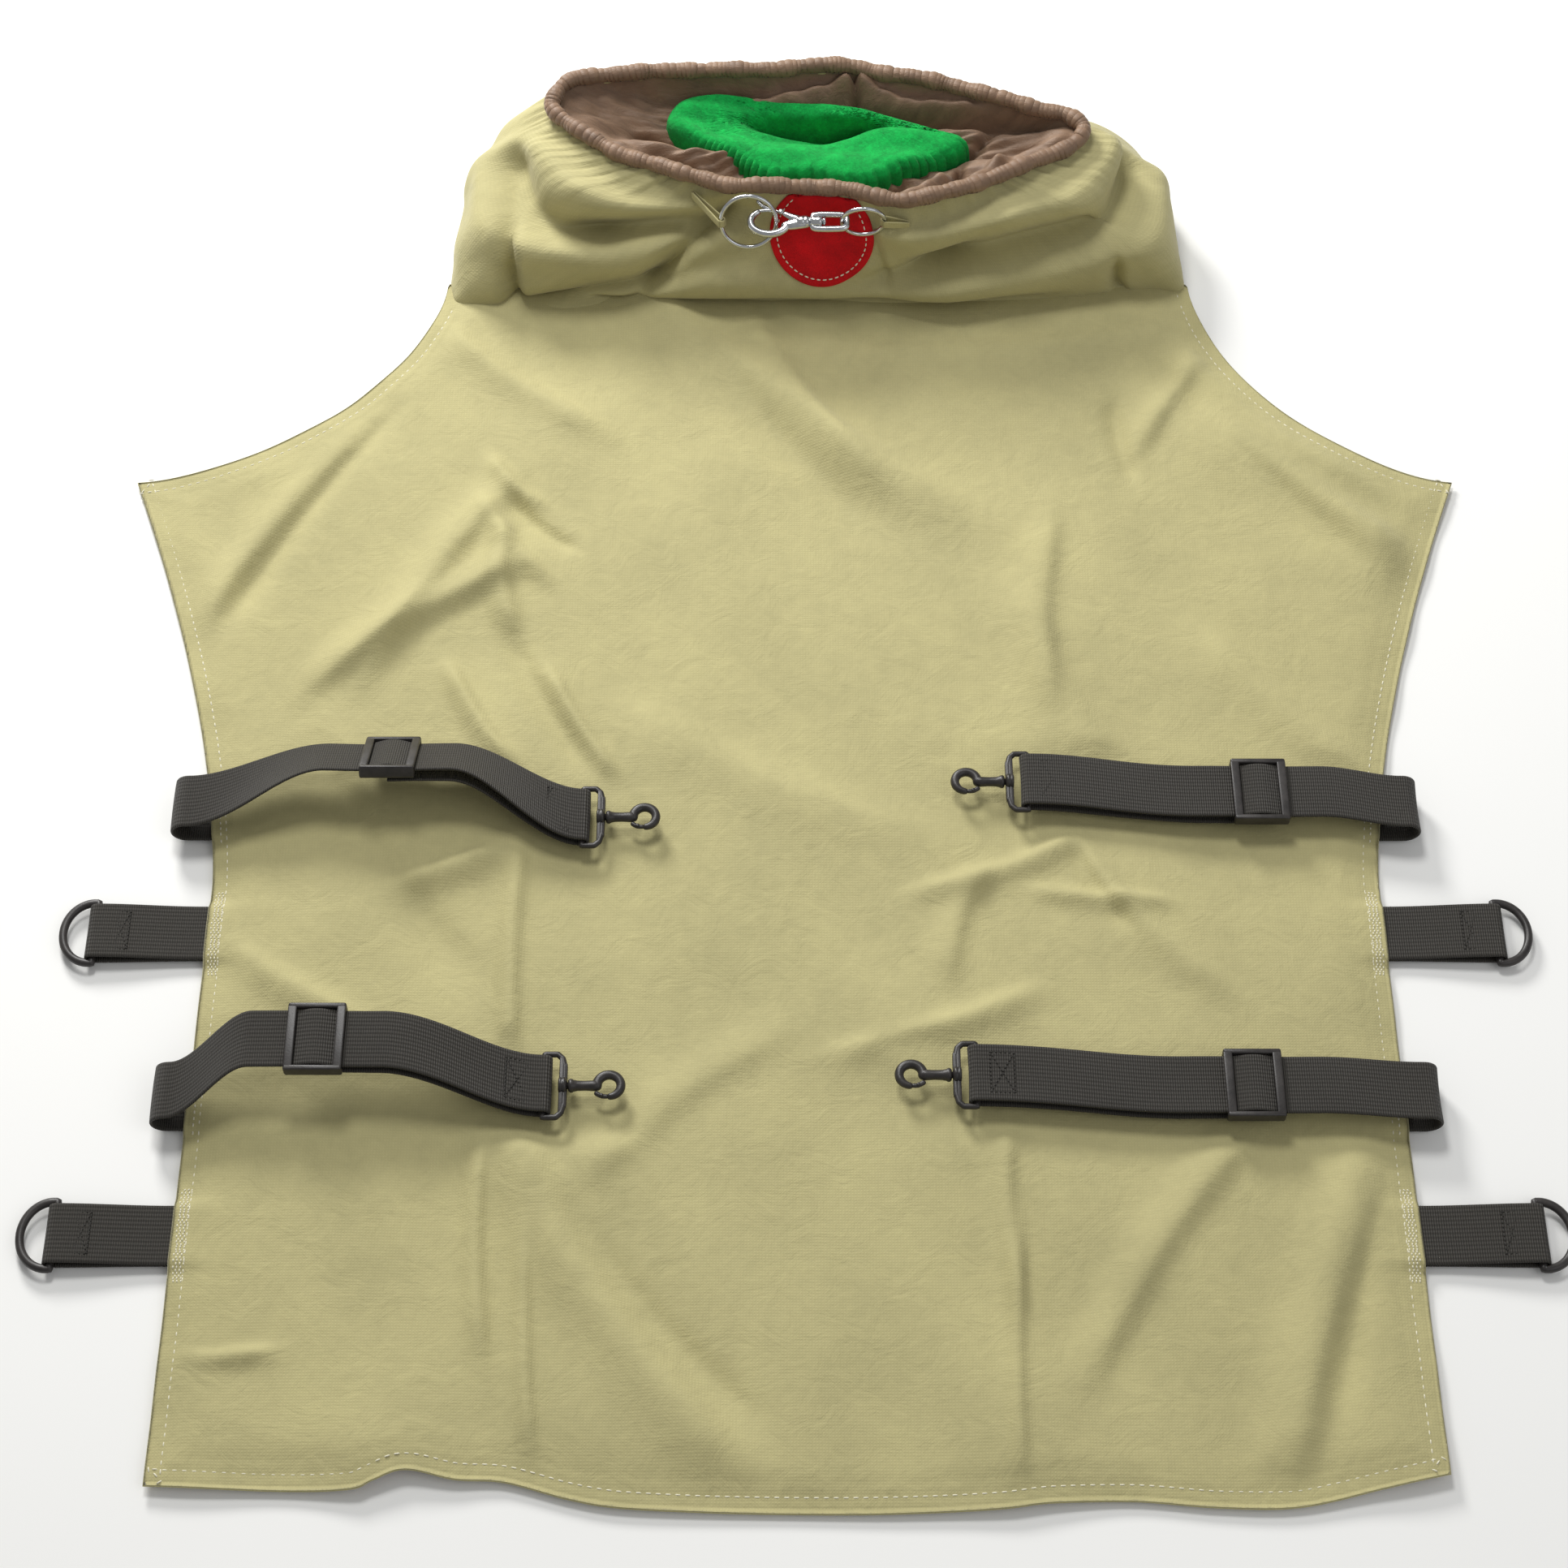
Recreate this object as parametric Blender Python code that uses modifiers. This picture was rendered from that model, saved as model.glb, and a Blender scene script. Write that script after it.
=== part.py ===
"""A strapped cover sheet for a small stabled animal, laid out flat with its outside up.

The canvas sheet lies on its lining. At its head end a stand-up neck tube is gathered on
an elastic rim, and a fleece gaiter stands inside the tube. Four adjustable belly straps
are sewn in at the sheet's edges and lie folded back on top of it, and four ring tabs
point outwards. A metal snap and two wire rings draw the neck in over a round patch.

Units are metres. +X is towards the sheet's right edge, +Y towards the neck, +Z up.
The origin is on the floor, under the middle of the whole object.
"""

import math

import bmesh
import bpy
from mathutils import Matrix, Vector

# ---------------------------------------------------------------- driving dimensions

TOUCH_GAP = 0.0003  # left between solids that rest on each other
RUN_GAP = 0.0005  # left between solids that move on each other

# Sheet
SHEET_HALF = 0.305  # half the width between the belly edges
SHOULDER_HALF = 0.374  # half the width across the two front corners
HEM_Y = -0.440  # rear hem
FLARE_Y = -0.110  # the edges start to flare towards the front corners here
SHOULDER_Y = 0.157  # front corners
NECK_HALF = 0.220  # half the width where the sheet runs into the neck tube
NECK_TOP_Y = 0.305  # end of the curved front edges
FRONT_CURVE = 1.65  # how square the front edges curve: 1 is straight, 2 is round
LINING_T = 0.0012
CANVAS_SKIN = 0.0009  # cloth left above a webbing end

# Neck tube, oval in plan
NECK_X = 0.014  # the neck lies a little to the right of the sheet's centre line
NECK_Y = 0.363
NECK_WALL = 0.0020
BASE_HALF = (0.213, 0.067)
BULGE_HALF = (0.216, 0.077)
RIM_HALF = (0.155, 0.054)
RIM_SHIFT_Y = 0.004
BULGE_Z = 0.014
RIM_Z = 0.079
CASING_R = 0.007
CASING_T = 0.0012
CASING_SLOT = math.radians(70)  # open underneath, where the cloth edges are sewn in
ELASTIC_R = 0.0020
FUNNEL_HALF = (0.090, 0.036)  # inner edge of the lining funnel
FUNNEL_Z = 0.056
FUNNEL_T = 0.0012
GAITER_HALF = (0.080, 0.028)
GAITER_T = 0.0040
GAITER_Z = (0.004, 0.067)
GAITER_FLARE = 0.003
OVAL_STEPS = 44

# Webbing, and what is threaded on it
WEB_W = 0.030
WEB_T = 0.0016
WEB_SIDE_GAP = 0.0008
ANCHOR_IN = 0.028  # length of webbing sewn in behind the hem
FRONT_STRAP_Y = -0.065
REAR_STRAP_Y = -0.234
FRONT_TAB_Y = -0.137
REAR_TAB_Y = -0.306

# Snap hook on each strap
PLY_OFFSET = 0.0032  # from the strap's middle plane to the middle of either ply
BAR_T = 0.0030
SLOT_L = 0.0060
BOSS_L = 0.0040
BOSS_R = 0.0044
RAIL_T = 0.0032
STEM_R = 0.0020
STEM_GAP = 0.0004
HEAD_R = 0.0034
HEAD_T = 0.0013
SHANK_L = 0.0150
HOOK_R = 0.0060  # middle line of the hook's loop
HOOK_SWEEP = math.radians(262)
GATE_R = 0.0013
GATE_GAP = 0.0018
HOOK_FLOOR_GAP = 0.0006

# Slider on each strap
SLIDER_L = 0.0290
SLIDER_BAR = 0.0045
SLIDER_RAIL = 0.0030
SLIDER_T = 0.0022
SLIDER_TRAVEL = 0.015

# Tabs and their moulded rings
TAB_L = 0.058
RING_WIRE_R = 0.0020
RING_DEPTH = 0.0165
TAB_HINGE_OUT = 0.0025

# Neck closure, set out on the front of the neck tube from the patch's centre
PATCH_R = 0.032
PATCH_T = 0.0016
PATCH_LIFT = 0.0018
PATCH_X = 0.016
PATCH_Z = 0.055
CLIP_UP = 0.0090  # the snap's axis, up the wall from the patch's centre
CLIP_LIFT = 0.0140  # and off the wall
CLIP_WIRE_R = 0.0013
CLIP_RING_R = 0.0160
CLIP_RING_X = -0.0425
CLIP_RING_TILT = math.radians(3)
PULL_RING_R = 0.0125
PULL_RING_X = 0.0235
PULL_RING_TILT = math.radians(32)
CLIP_ROLL = math.radians(-50)
CLIP_T = 0.0036
CLIP_JAW_X = -0.0305
CLIP_JAW_HALF = (0.0123, 0.0092)
CLIP_JAW_WALL = 0.0030
CLIP_TIP = 128  # degrees round the jaw to its tip
CLIP_PIVOT = 52  # and to the lever's pivot
CLIP_BOSS_R = 0.0017
CLIP_EAR_L = 0.0040
CLIP_NECK_X = -0.0075
CLIP_STEM_R = 0.0016
CLIP_HEAD_X = 0.0005
CLIP_EYE_HALF = 0.0058
CLIP_EYE_WALL = 0.0028
CLIP_EYE_T = 0.0032
CLIP_TAB_T = 0.0012
CLIP_TAB_W = 0.0040
CLIP_TAB_PLAY = 0.0006

# ---------------------------------------------------------------- derived sizes

CANVAS_Z = LINING_T + TOUCH_GAP
CANVAS_T = 2 * WEB_T + CANVAS_SKIN + 0.0004  # outer cloth and interlining, over a doubled webbing end
CANVAS_TOP = CANVAS_Z + CANVAS_T
POCKET_TOP = CANVAS_TOP - CANVAS_SKIN
SEWN_Z = (CANVAS_Z + POCKET_TOP) / 2
LOOP_OUTER = HOOK_R + STEM_R
HOOK_Z = CANVAS_TOP + LOOP_OUTER + HOOK_FLOOR_GAP
RUN_Z = HOOK_Z + PLY_OFFSET
FOLD_Z = (SEWN_Z + RUN_Z) / 2
FOLD_R = (RUN_Z - SEWN_Z) / 2
FOLD_X = FOLD_R + WEB_T / 2 + RUN_GAP  # outwards from the sheet's edge
GATE_STEM_GAP = 0.0010  # lets the gate's square end turn beside the stem
CLEAR_W = WEB_W + 2 * WEB_SIDE_GAP
TAB_Z = PLY_OFFSET + WEB_T / 2 + TOUCH_GAP
PLATEAU = SLIDER_TRAVEL + SLIDER_L / 2 + 0.003
CASING_Y = NECK_Y + RIM_SHIFT_Y
CLIP_WINDOW_HALF = CLIP_WIRE_R + 0.0016
CLIP_EYE_END = PULL_RING_X - PULL_RING_R + CLIP_WIRE_R + TOUCH_GAP + CLIP_EYE_WALL
WALL_TOP_Z = RIM_Z - CASING_R - TOUCH_GAP

# name: side, y, then at the slider x, shift along Y, lift and roll in degrees,
# then at the hook's bar x and shift along Y
STRAPS = {
    "front_left": (-1, FRONT_STRAP_Y, (0.214, 0.020, 0.008, -32), (0.112, -0.008)),
    "front_right": (1, FRONT_STRAP_Y, (0.245, 0.006, 0.000, 0), (0.123, 0.014)),
    "rear_left": (-1, REAR_STRAP_Y, (0.239, 0.021, 0.015, 0), (0.126, 0.004)),
    "rear_right": (1, REAR_STRAP_Y, (0.228, 0.003, 0.000, 0), (0.090, 0.010)),
}
TABS = {
    "front_left": (-1, FRONT_TAB_Y),
    "front_right": (1, FRONT_TAB_Y),
    "rear_left": (-1, REAR_TAB_Y),
    "rear_right": (1, REAR_TAB_Y),
}

MATERIALS = {
    "canvas": ("C2B884", 0.85, 0.0),
    "brown_lining": ("7B6350", 0.70, 0.0),
    "green_fleece": ("0E9A48", 0.95, 0.0),
    "elastic": ("E8E4DA", 0.80, 0.0),
    "webbing": ("35312E", 0.80, 0.0),
    "black_plastic": ("2B2A2A", 0.45, 0.0),
    "red_patch": ("C4111F", 0.75, 0.0),
    "chrome": ("D9DCDE", 0.20, 1.0),
}


# ---------------------------------------------------------------- scene helpers


def clear_scene():
    for obj in list(bpy.data.objects):
        bpy.data.objects.remove(obj)


def make_collection(name):
    collection = bpy.data.collections.new(name)
    bpy.context.scene.collection.children.link(collection)
    return collection


def linear(hex_colour):
    """sRGB hex to linear RGB."""
    channels = [int(hex_colour[i : i + 2], 16) / 255 for i in (0, 2, 4)]
    return [c / 12.92 if c <= 0.04045 else ((c + 0.055) / 1.055) ** 2.4 for c in channels]


def make_materials():
    made = {}
    for name, (colour, roughness, metallic) in MATERIALS.items():
        material = bpy.data.materials.new(name)
        material.use_nodes = True
        shader = material.node_tree.nodes["Principled BSDF"]
        shader.inputs["Base Color"].default_value = (*linear(colour), 1)
        shader.inputs["Roughness"].default_value = roughness
        shader.inputs["Metallic"].default_value = metallic
        made[name] = material
    return made


def add(name, data, material, origin=(0, 0, 0)):
    """Links data as an object of the sheet, with its origin at the given world point."""
    if isinstance(data, bpy.types.Mesh):
        data.transform(Matrix.Translation(-Vector(origin)))
    obj = bpy.data.objects.new(name, data)
    obj.location = origin
    data.materials.append(materials[material])
    sheet.objects.link(obj)
    return obj


def mesh_from(bm):
    mesh = bpy.data.meshes.new("shape")
    bmesh.ops.recalc_face_normals(bm, faces=bm.faces)
    bm.to_mesh(mesh)
    bm.free()
    return mesh


def cutter(name, mesh):
    obj = bpy.data.objects.new(name, mesh)
    obj.hide_render = True
    obj.display_type = "WIRE"
    cutters.objects.link(obj)
    return obj


def boolean(obj, other, operation):
    modifier = obj.modifiers.new(operation.title(), "BOOLEAN")
    modifier.operation = operation
    modifier.object = other


def solidify(obj, thickness, offset=0.0):
    modifier = obj.modifiers.new("Solidify", "SOLIDIFY")
    modifier.thickness = thickness
    modifier.offset = offset


def turn(mesh, frame):
    mesh.transform(frame)
    return mesh


# ---------------------------------------------------------------- shapes


def box_mesh(low, high):
    bm = bmesh.new()
    size = [h - l for l, h in zip(low, high)]
    middle = [(h + l) / 2 for l, h in zip(low, high)]
    bmesh.ops.create_cube(bm, size=1, matrix=Matrix.Translation(middle) @ Matrix.Diagonal((*size, 1)))
    return mesh_from(bm)


def rod_mesh(start, end, radius, sides=12):
    """A capped cylinder from start to end."""
    start, end = Vector(start), Vector(end)
    axis = end - start
    bm = bmesh.new()
    bmesh.ops.create_cone(
        bm, cap_ends=True, segments=sides, radius1=radius, radius2=radius, depth=axis.length,
        matrix=Matrix.Translation((start + end) / 2) @ axis.to_track_quat("Z", "Y").to_matrix().to_4x4(),
    )
    return mesh_from(bm)


def wire_mesh(points, radius, cyclic=False, resolution=2):
    """A round wire along the points, as a mesh with welded caps."""
    curve = bpy.data.curves.new("wire", "CURVE")
    curve.dimensions = "3D"
    curve.bevel_depth = radius
    curve.bevel_resolution = resolution
    curve.use_fill_caps = True
    spline = curve.splines.new("POLY")
    spline.points.add(len(points) - 1)
    for target, point in zip(spline.points, points):
        target.co = (*point, 1)
    spline.use_cyclic_u = cyclic
    holder = bpy.data.objects.new("wire", curve)
    bpy.context.scene.collection.objects.link(holder)
    bpy.context.view_layer.update()
    mesh = bpy.data.meshes.new_from_object(holder.evaluated_get(bpy.context.evaluated_depsgraph_get()))
    bpy.data.objects.remove(holder)
    mesh.materials.clear()
    bm = bmesh.new()
    bm.from_mesh(mesh)
    bmesh.ops.remove_doubles(bm, verts=bm.verts, dist=1e-5)
    return mesh_from(bm)


def plate_mesh(outlines, bottom, top):
    """Flat closed outlines, an outer one and any holes, extruded from bottom to top."""
    curve = bpy.data.curves.new("plate", "CURVE")
    curve.dimensions = "2D"
    curve.fill_mode = "BOTH"
    curve.extrude = (top - bottom) / 2
    for outline in outlines:
        spline = curve.splines.new("POLY")
        spline.points.add(len(outline) - 1)
        for target, (x, y) in zip(spline.points, outline):
            target.co = (x, y, 0, 1)
        spline.use_cyclic_u = True
    holder = bpy.data.objects.new("plate", curve)
    bpy.context.scene.collection.objects.link(holder)
    bpy.context.view_layer.update()
    mesh = bpy.data.meshes.new_from_object(holder.evaluated_get(bpy.context.evaluated_depsgraph_get()))
    bpy.data.objects.remove(holder)
    bm = bmesh.new()
    bm.from_mesh(mesh)
    bmesh.ops.remove_doubles(bm, verts=bm.verts, dist=1e-5)
    bmesh.ops.translate(bm, verts=bm.verts, vec=(0, 0, (top + bottom) / 2))
    return mesh_from(bm)


def strip_mesh(rows, closed_along=False, closed_across=False):
    """An open surface through rows of points that all have the same length."""
    bm = bmesh.new()
    grid = [[bm.verts.new(point) for point in row] for row in rows]
    last = len(grid) if closed_along else len(grid) - 1
    for i in range(last):
        row, following = grid[i], grid[(i + 1) % len(grid)]
        across = len(row) if closed_across else len(row) - 1
        for j in range(across):
            k = (j + 1) % len(row)
            bm.faces.new((row[j], row[k], following[k], following[j]))
    return mesh_from(bm)


def oval(half, y, z, steps=OVAL_STEPS, x=NECK_X):
    """Points round a level oval of the given half width and half depth."""
    angles = [2 * math.pi * i / steps for i in range(steps)]
    return [Vector((x + half[0] * math.cos(a), y + half[1] * math.sin(a), z)) for a in angles]


def arc(centre, radius, start, end, steps):
    """Points on an arc in a plane, ends included."""
    angles = [start + (end - start) * i / steps for i in range(steps + 1)]
    return [(centre[0] + radius * math.cos(a), centre[1] + radius * math.sin(a)) for a in angles]


def smooth(share):
    share = min(1.0, max(0.0, share))
    return share * share * (3 - 2 * share)


# ---------------------------------------------------------------- sheet


def edge_x(y):
    """Half width of the sheet at y, from the rear hem to the front corners."""
    share = max(0.0, (y - FLARE_Y) / (SHOULDER_Y - FLARE_Y))
    return SHEET_HALF + (SHOULDER_HALF - SHEET_HALF) * share**1.5


def fold_at(y):
    """Where a strap at y folds: clear of the sheet's edge over the strap's whole width."""
    return edge_x(y + CLEAR_W / 2) + FOLD_X


def sheet_outline():
    """The sheet's edge, anticlockwise from the rear left corner."""
    flare = [FLARE_Y + (SHOULDER_Y - FLARE_Y) * i / 5 for i in range(6)]
    sides = []
    for side in (1, -1):
        reach = SHOULDER_HALF - NECK_HALF - side * NECK_X
        front = [
            (
                SHOULDER_HALF - reach * math.sin(a) ** (2 / FRONT_CURVE),
                NECK_TOP_Y - (NECK_TOP_Y - SHOULDER_Y) * math.cos(a) ** (2 / FRONT_CURVE),
            )
            for a in (math.pi / 2 * i / 8 for i in range(1, 9))
        ]
        half = [(SHEET_HALF, HEM_Y)] + [(edge_x(y), y) for y in flare] + front
        sides.append([(side * x, y) for x, y in half])
    return sides[0] + sides[1][::-1]


def make_sheet():
    outline = [sheet_outline()]
    hole_half = [h + 0.002 for h in BASE_HALF]
    hole = [[(p.x, p.y) for p in oval(hole_half, NECK_Y, 0)]]
    hole_cutter = cutter("neck_hole", plate_mesh(hole, -0.01, 0.02))
    lining = add("body_lining", plate_mesh(outline, 0, LINING_T), "brown_lining")
    panel = add("canvas_panel", plate_mesh(outline, CANVAS_Z, CANVAS_TOP), "canvas")
    for obj in (lining, panel):
        boolean(obj, hole_cutter, "DIFFERENCE")
    for name, (side, y) in {**{f"strap_{k}": v[:2] for k, v in STRAPS.items()}, **TABS}.items():
        half = CLEAR_W / 2
        inner, outer = edge_x(y) - ANCHOR_IN - WEB_SIDE_GAP, edge_x(y) + 0.02
        low, high = sorted((side * inner, side * outer))
        pocket = box_mesh((low, y - half, CANVAS_Z - 0.001), (high, y + half, POCKET_TOP))
        boolean(panel, cutter(f"pocket_{name}", pocket), "DIFFERENCE")


# ---------------------------------------------------------------- neck


def make_neck():
    rows = [oval(BASE_HALF, NECK_Y, z) for z in (CANVAS_Z, CANVAS_TOP + 0.001)]
    for share in (0.0, 0.5, 1.0):
        half_x, half_y, centre_y = wall_halves(share)
        rows.append(oval((half_x, half_y), centre_y, BULGE_Z + (WALL_TOP_Z - BULGE_Z) * share))
    canvas = add("neck_tube", strip_mesh(rows, closed_across=True), "canvas")
    solidify(canvas, NECK_WALL, -1.0)

    profile = arc((0, 0), CASING_R - CASING_T / 2, -math.pi / 2 + CASING_SLOT / 2,
                  1.5 * math.pi - CASING_SLOT / 2, 7)
    rows = [
        oval((RIM_HALF[0] + out, RIM_HALF[1] + out), CASING_Y, RIM_Z + up)
        for out, up in profile
    ]
    casing = add("rim_casing", strip_mesh(rows, closed_across=True), "brown_lining")
    solidify(casing, CASING_T)
    add("rim_elastic", wire_mesh(oval(RIM_HALF, CASING_Y, RIM_Z), ELASTIC_R, True, 1), "elastic")

    funnel_top = [h - CASING_R * 0.8 for h in RIM_HALF]
    funnel_top_z = WALL_TOP_Z - FUNNEL_T
    rows = [
        oval(funnel_top, CASING_Y, funnel_top_z),
        oval([(a + b) / 2 for a, b in zip(funnel_top, FUNNEL_HALF)], CASING_Y,
             FUNNEL_Z + (funnel_top_z - FUNNEL_Z) * 0.35),
        oval(FUNNEL_HALF, CASING_Y, FUNNEL_Z),
    ]
    funnel = add("neck_lining", strip_mesh(rows, closed_across=True), "brown_lining")
    solidify(funnel, FUNNEL_T)

    low, high = GAITER_Z
    lip_half = [h + GAITER_FLARE for h in GAITER_HALF]
    rows = [
        oval(GAITER_HALF, CASING_Y, low),
        oval(GAITER_HALF, CASING_Y, FUNNEL_Z),
        oval(lip_half, CASING_Y, high),
    ]
    gaiter = add("neck_gaiter", strip_mesh(rows, closed_across=True), "green_fleece")
    solidify(gaiter, GAITER_T, -1.0)
    inner = [h + ELASTIC_R + 3 * TOUCH_GAP + 0.002 for h in GAITER_HALF]
    ring = oval(inner, CASING_Y, FUNNEL_Z - FUNNEL_T - ELASTIC_R - TOUCH_GAP)
    add("gaiter_elastic", wire_mesh(ring, ELASTIC_R * 0.8, True, 1), "elastic")


# ---------------------------------------------------------------- straps


def strap_station(x, strap):
    """The strap's y, height and roll, on its middle plane at distance x from the centre line."""
    side, y, (slider_x, slider_shift, lift, roll), (bar_x, bar_shift) = strap
    fold_x = fold_at(y)
    outer = smooth((fold_x - x) / (fold_x - slider_x - PLATEAU))
    inner = smooth((x - bar_x) / (slider_x - PLATEAU - bar_x))
    share = min(outer, inner)
    angle = math.radians(roll) * share
    room = (WEB_W / 2 + SLIDER_RAIL) * abs(math.sin(math.radians(roll))) * share
    ends = bar_shift if x < slider_x else 0.0
    return y + ends + (slider_shift - ends) * share, HOOK_Z + max(lift * share, room), angle


def ply(x, strap, offset):
    """The two edge points of one ply of the strap at x, offset from its middle plane."""
    y, z, roll = strap_station(x, strap)
    normal = Vector((0, -math.sin(roll), math.cos(roll)))
    across = Vector((0, math.cos(roll), math.sin(roll))) * WEB_W / 2
    middle = Vector((strap[0] * x, y, z)) + normal * offset
    return [middle - across, middle + across]


def level(side, x, y, z):
    return [Vector((side * x, y - WEB_W / 2, z)), Vector((side * x, y + WEB_W / 2, z))]


def make_strap(name, strap):
    side, y, (slider_x, _, _, _), (bar_x, bar_shift) = strap
    edge = edge_x(y)
    fold_x = fold_at(y)
    hinge = Vector((side * fold_x, y, FOLD_Z))

    anchor_low, anchor_high = sorted((side * (edge - ANCHOR_IN), side * edge))
    half = WEB_W / 2
    anchor = box_mesh((anchor_low, y - half, SEWN_Z - WEB_T / 2), (anchor_high, y + half, SEWN_Z + WEB_T / 2))
    add(f"strap_end_{name}", anchor, "webbing")

    rows = [level(side, x, y, z) for x, z in arc((fold_x, FOLD_Z), FOLD_R, -math.pi / 2, math.pi / 2, 8)]
    outer_steps, inner_steps = 7, 9
    first = slider_x + PLATEAU
    for i in range(1, outer_steps + 1):
        rows.append(ply(fold_x + (first - fold_x) * i / outer_steps, strap, PLY_OFFSET))
    last = slider_x - PLATEAU
    for i in range(inner_steps):
        rows.append(ply(last + (bar_x - last) * i / inner_steps, strap, PLY_OFFSET))
    rows += [
        level(side, x, y + bar_shift, z)
        for x, z in arc((bar_x, HOOK_Z), PLY_OFFSET, math.pi / 2, 1.5 * math.pi, 6)
    ]
    for i in range(1, inner_steps + 2):
        rows.append(ply(bar_x + (last - bar_x) * min(i, inner_steps) / inner_steps
                        + (slider_x - last) * (i > inner_steps), strap, -PLY_OFFSET))
    web = add(f"strap_{name}", strip_mesh(rows), "webbing", hinge)
    solidify(web, WEB_T)

    make_slider(name, strap)
    make_snap_hook(name, side, y + bar_shift, bar_x)


def make_slider(name, strap):
    """A three-bar slider: the strap runs under its two end bars and over the middle one."""
    side, slider_x = strap[0], strap[2][0]
    y, z, roll = strap_station(slider_x, strap)
    half_w = CLEAR_W / 2 + SLIDER_RAIL
    above = PLY_OFFSET + WEB_T / 2 + RUN_GAP
    below = PLY_OFFSET - WEB_T / 2 - RUN_GAP
    half_l = SLIDER_L / 2
    inner = CLEAR_W / 2
    frame_mesh = box_mesh((-half_l, -half_w, below - SLIDER_T), (half_l, half_w, above + SLIDER_T))
    slider = add(f"slider_{name}", frame_mesh, "black_plastic")
    cuts = {
        "under": ((-half_l - 0.001, -inner, below - SLIDER_T - 0.001), (-SLIDER_BAR / 2, inner, above)),
        "under_far": ((SLIDER_BAR / 2, -inner, below - SLIDER_T - 0.001), (half_l + 0.001, inner, above)),
        "over": ((-half_l + SLIDER_BAR, -inner, below), (half_l - SLIDER_BAR, inner, above + SLIDER_T + 0.001)),
    }
    place = Matrix.Translation((side * slider_x, y, z)) @ Matrix.Rotation(roll, 4, "X")
    slider.matrix_world = place
    for label, (low, high) in cuts.items():
        tool = cutter(f"slider_{label}_{name}", box_mesh(low, high))
        tool.matrix_world = place
        boolean(slider, tool, "DIFFERENCE")


def make_snap_hook(name, side, y, bar_x):
    """The swivelling snap hook: a base that the strap runs round, a hook and its gate."""
    inner = CLEAR_W / 2
    outer = inner + RAIL_T
    bar_out = bar_x + BAR_T / 2
    slot_in = bar_x - BAR_T / 2 - SLOT_L
    base_in = slot_in - BOSS_L
    axis = Vector((side * base_in, y, HOOK_Z))

    def point(x, dy=0.0, dz=0.0):
        return (side * x, y + dy, HOOK_Z + dz)

    chamfer = RAIL_T
    outline = [
        (bar_out, -outer), (bar_out, outer), (slot_in, outer), (base_in, outer - 2 * chamfer),
        (base_in, -outer + 2 * chamfer), (slot_in, -outer),
    ]
    slot = [(bar_out - BAR_T, -inner), (bar_out - BAR_T, inner), (slot_in, inner), (slot_in, -inner)]
    flat = [[(side * x, y + dy) for x, dy in ring] for ring in (outline, slot)]
    base = add(f"hook_base_{name}", plate_mesh(flat, HOOK_Z - BAR_T / 2, HOOK_Z + BAR_T / 2), "black_plastic")
    boss = cutter(f"boss_{name}", rod_mesh(point(slot_in + 0.0001), point(base_in - 0.0006), BOSS_R, 14))
    bore = cutter(f"bore_{name}", rod_mesh(point(slot_in + 0.002), point(base_in - 0.004), STEM_R + STEM_GAP, 14))
    boolean(base, boss, "UNION")
    boolean(base, bore, "DIFFERENCE")

    head_in = slot_in + STEM_GAP
    loop_x = base_in - SHANK_L - HOOK_R
    start = 0.0
    loop = arc((loop_x, 0), HOOK_R, start, start + HOOK_SWEEP, 12)
    path = [point(head_in + HEAD_T / 2)] + [point(base_in - SHANK_L * 0.9)]
    path += [point(x, dy) for x, dy in loop[1:]]
    hook = add(f"hook_{name}", wire_mesh(path, STEM_R), "black_plastic", axis)
    head = cutter(f"head_{name}", rod_mesh(point(head_in), point(head_in + HEAD_T), HEAD_R, 14))
    boolean(hook, head, "UNION")

    gate_start = (loop_x + HOOK_R, -STEM_R - GATE_R - GATE_STEM_GAP)
    gate_end = (loop[-1][0] + GATE_GAP, loop[-1][1])
    gate = rod_mesh(point(*gate_start), point(*gate_end), GATE_R, 8)
    add(f"hook_gate_{name}", gate, "black_plastic", point(*gate_start))


# ---------------------------------------------------------------- ring tabs


def make_tab(name, side, y):
    edge = edge_x(y)
    half = WEB_W / 2
    low, high = sorted((side * (edge - ANCHOR_IN), side * edge))
    anchor = box_mesh((low, y - half, SEWN_Z - WEB_T), (high, y + half, SEWN_Z + WEB_T))
    add(f"tab_end_{name}", anchor, "webbing")

    hinge = (side * (edge + TAB_HINGE_OUT), y, CANVAS_TOP + RUN_GAP)
    start = edge + TAB_HINGE_OUT + RUN_GAP
    bar_x = edge + TAB_L
    spread = WEB_T / 2 + TOUCH_GAP / 2
    steps = 6

    def tab_ply(share, sign):
        offset = spread + (PLY_OFFSET - spread) * smooth(share)
        z = SEWN_Z + (TAB_Z - SEWN_Z) * smooth(share)
        return level(side, start + (bar_x - start) * share, y, z + sign * offset)

    rows = [tab_ply(i / steps, 1) for i in range(steps)]
    rows += [
        level(side, x, y, z)
        for x, z in arc((bar_x, TAB_Z), PLY_OFFSET, math.pi / 2, -math.pi / 2, 6)
    ]
    rows += [tab_ply(1 - i / steps, -1) for i in range(1, steps + 1)]
    tab = add(f"tab_{name}", strip_mesh(rows), "webbing", hinge)
    solidify(tab, WEB_T)

    wide = CLEAR_W / 2 + RING_WIRE_R
    bow = [
        (bar_x + RING_DEPTH * math.sin(a), -wide * math.cos(a))
        for a in (math.pi * i / 12 for i in range(13))
    ]
    bar = [(bar_x, wide * (1 - 2 * i / 3)) for i in (1, 2)]
    path = [(side * x, y + dy, TAB_Z) for x, dy in bow + bar]
    add(f"ring_{name}", wire_mesh(path, RING_WIRE_R, True), "black_plastic", (side * bar_x, y, TAB_Z))


# ---------------------------------------------------------------- neck closure


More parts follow.
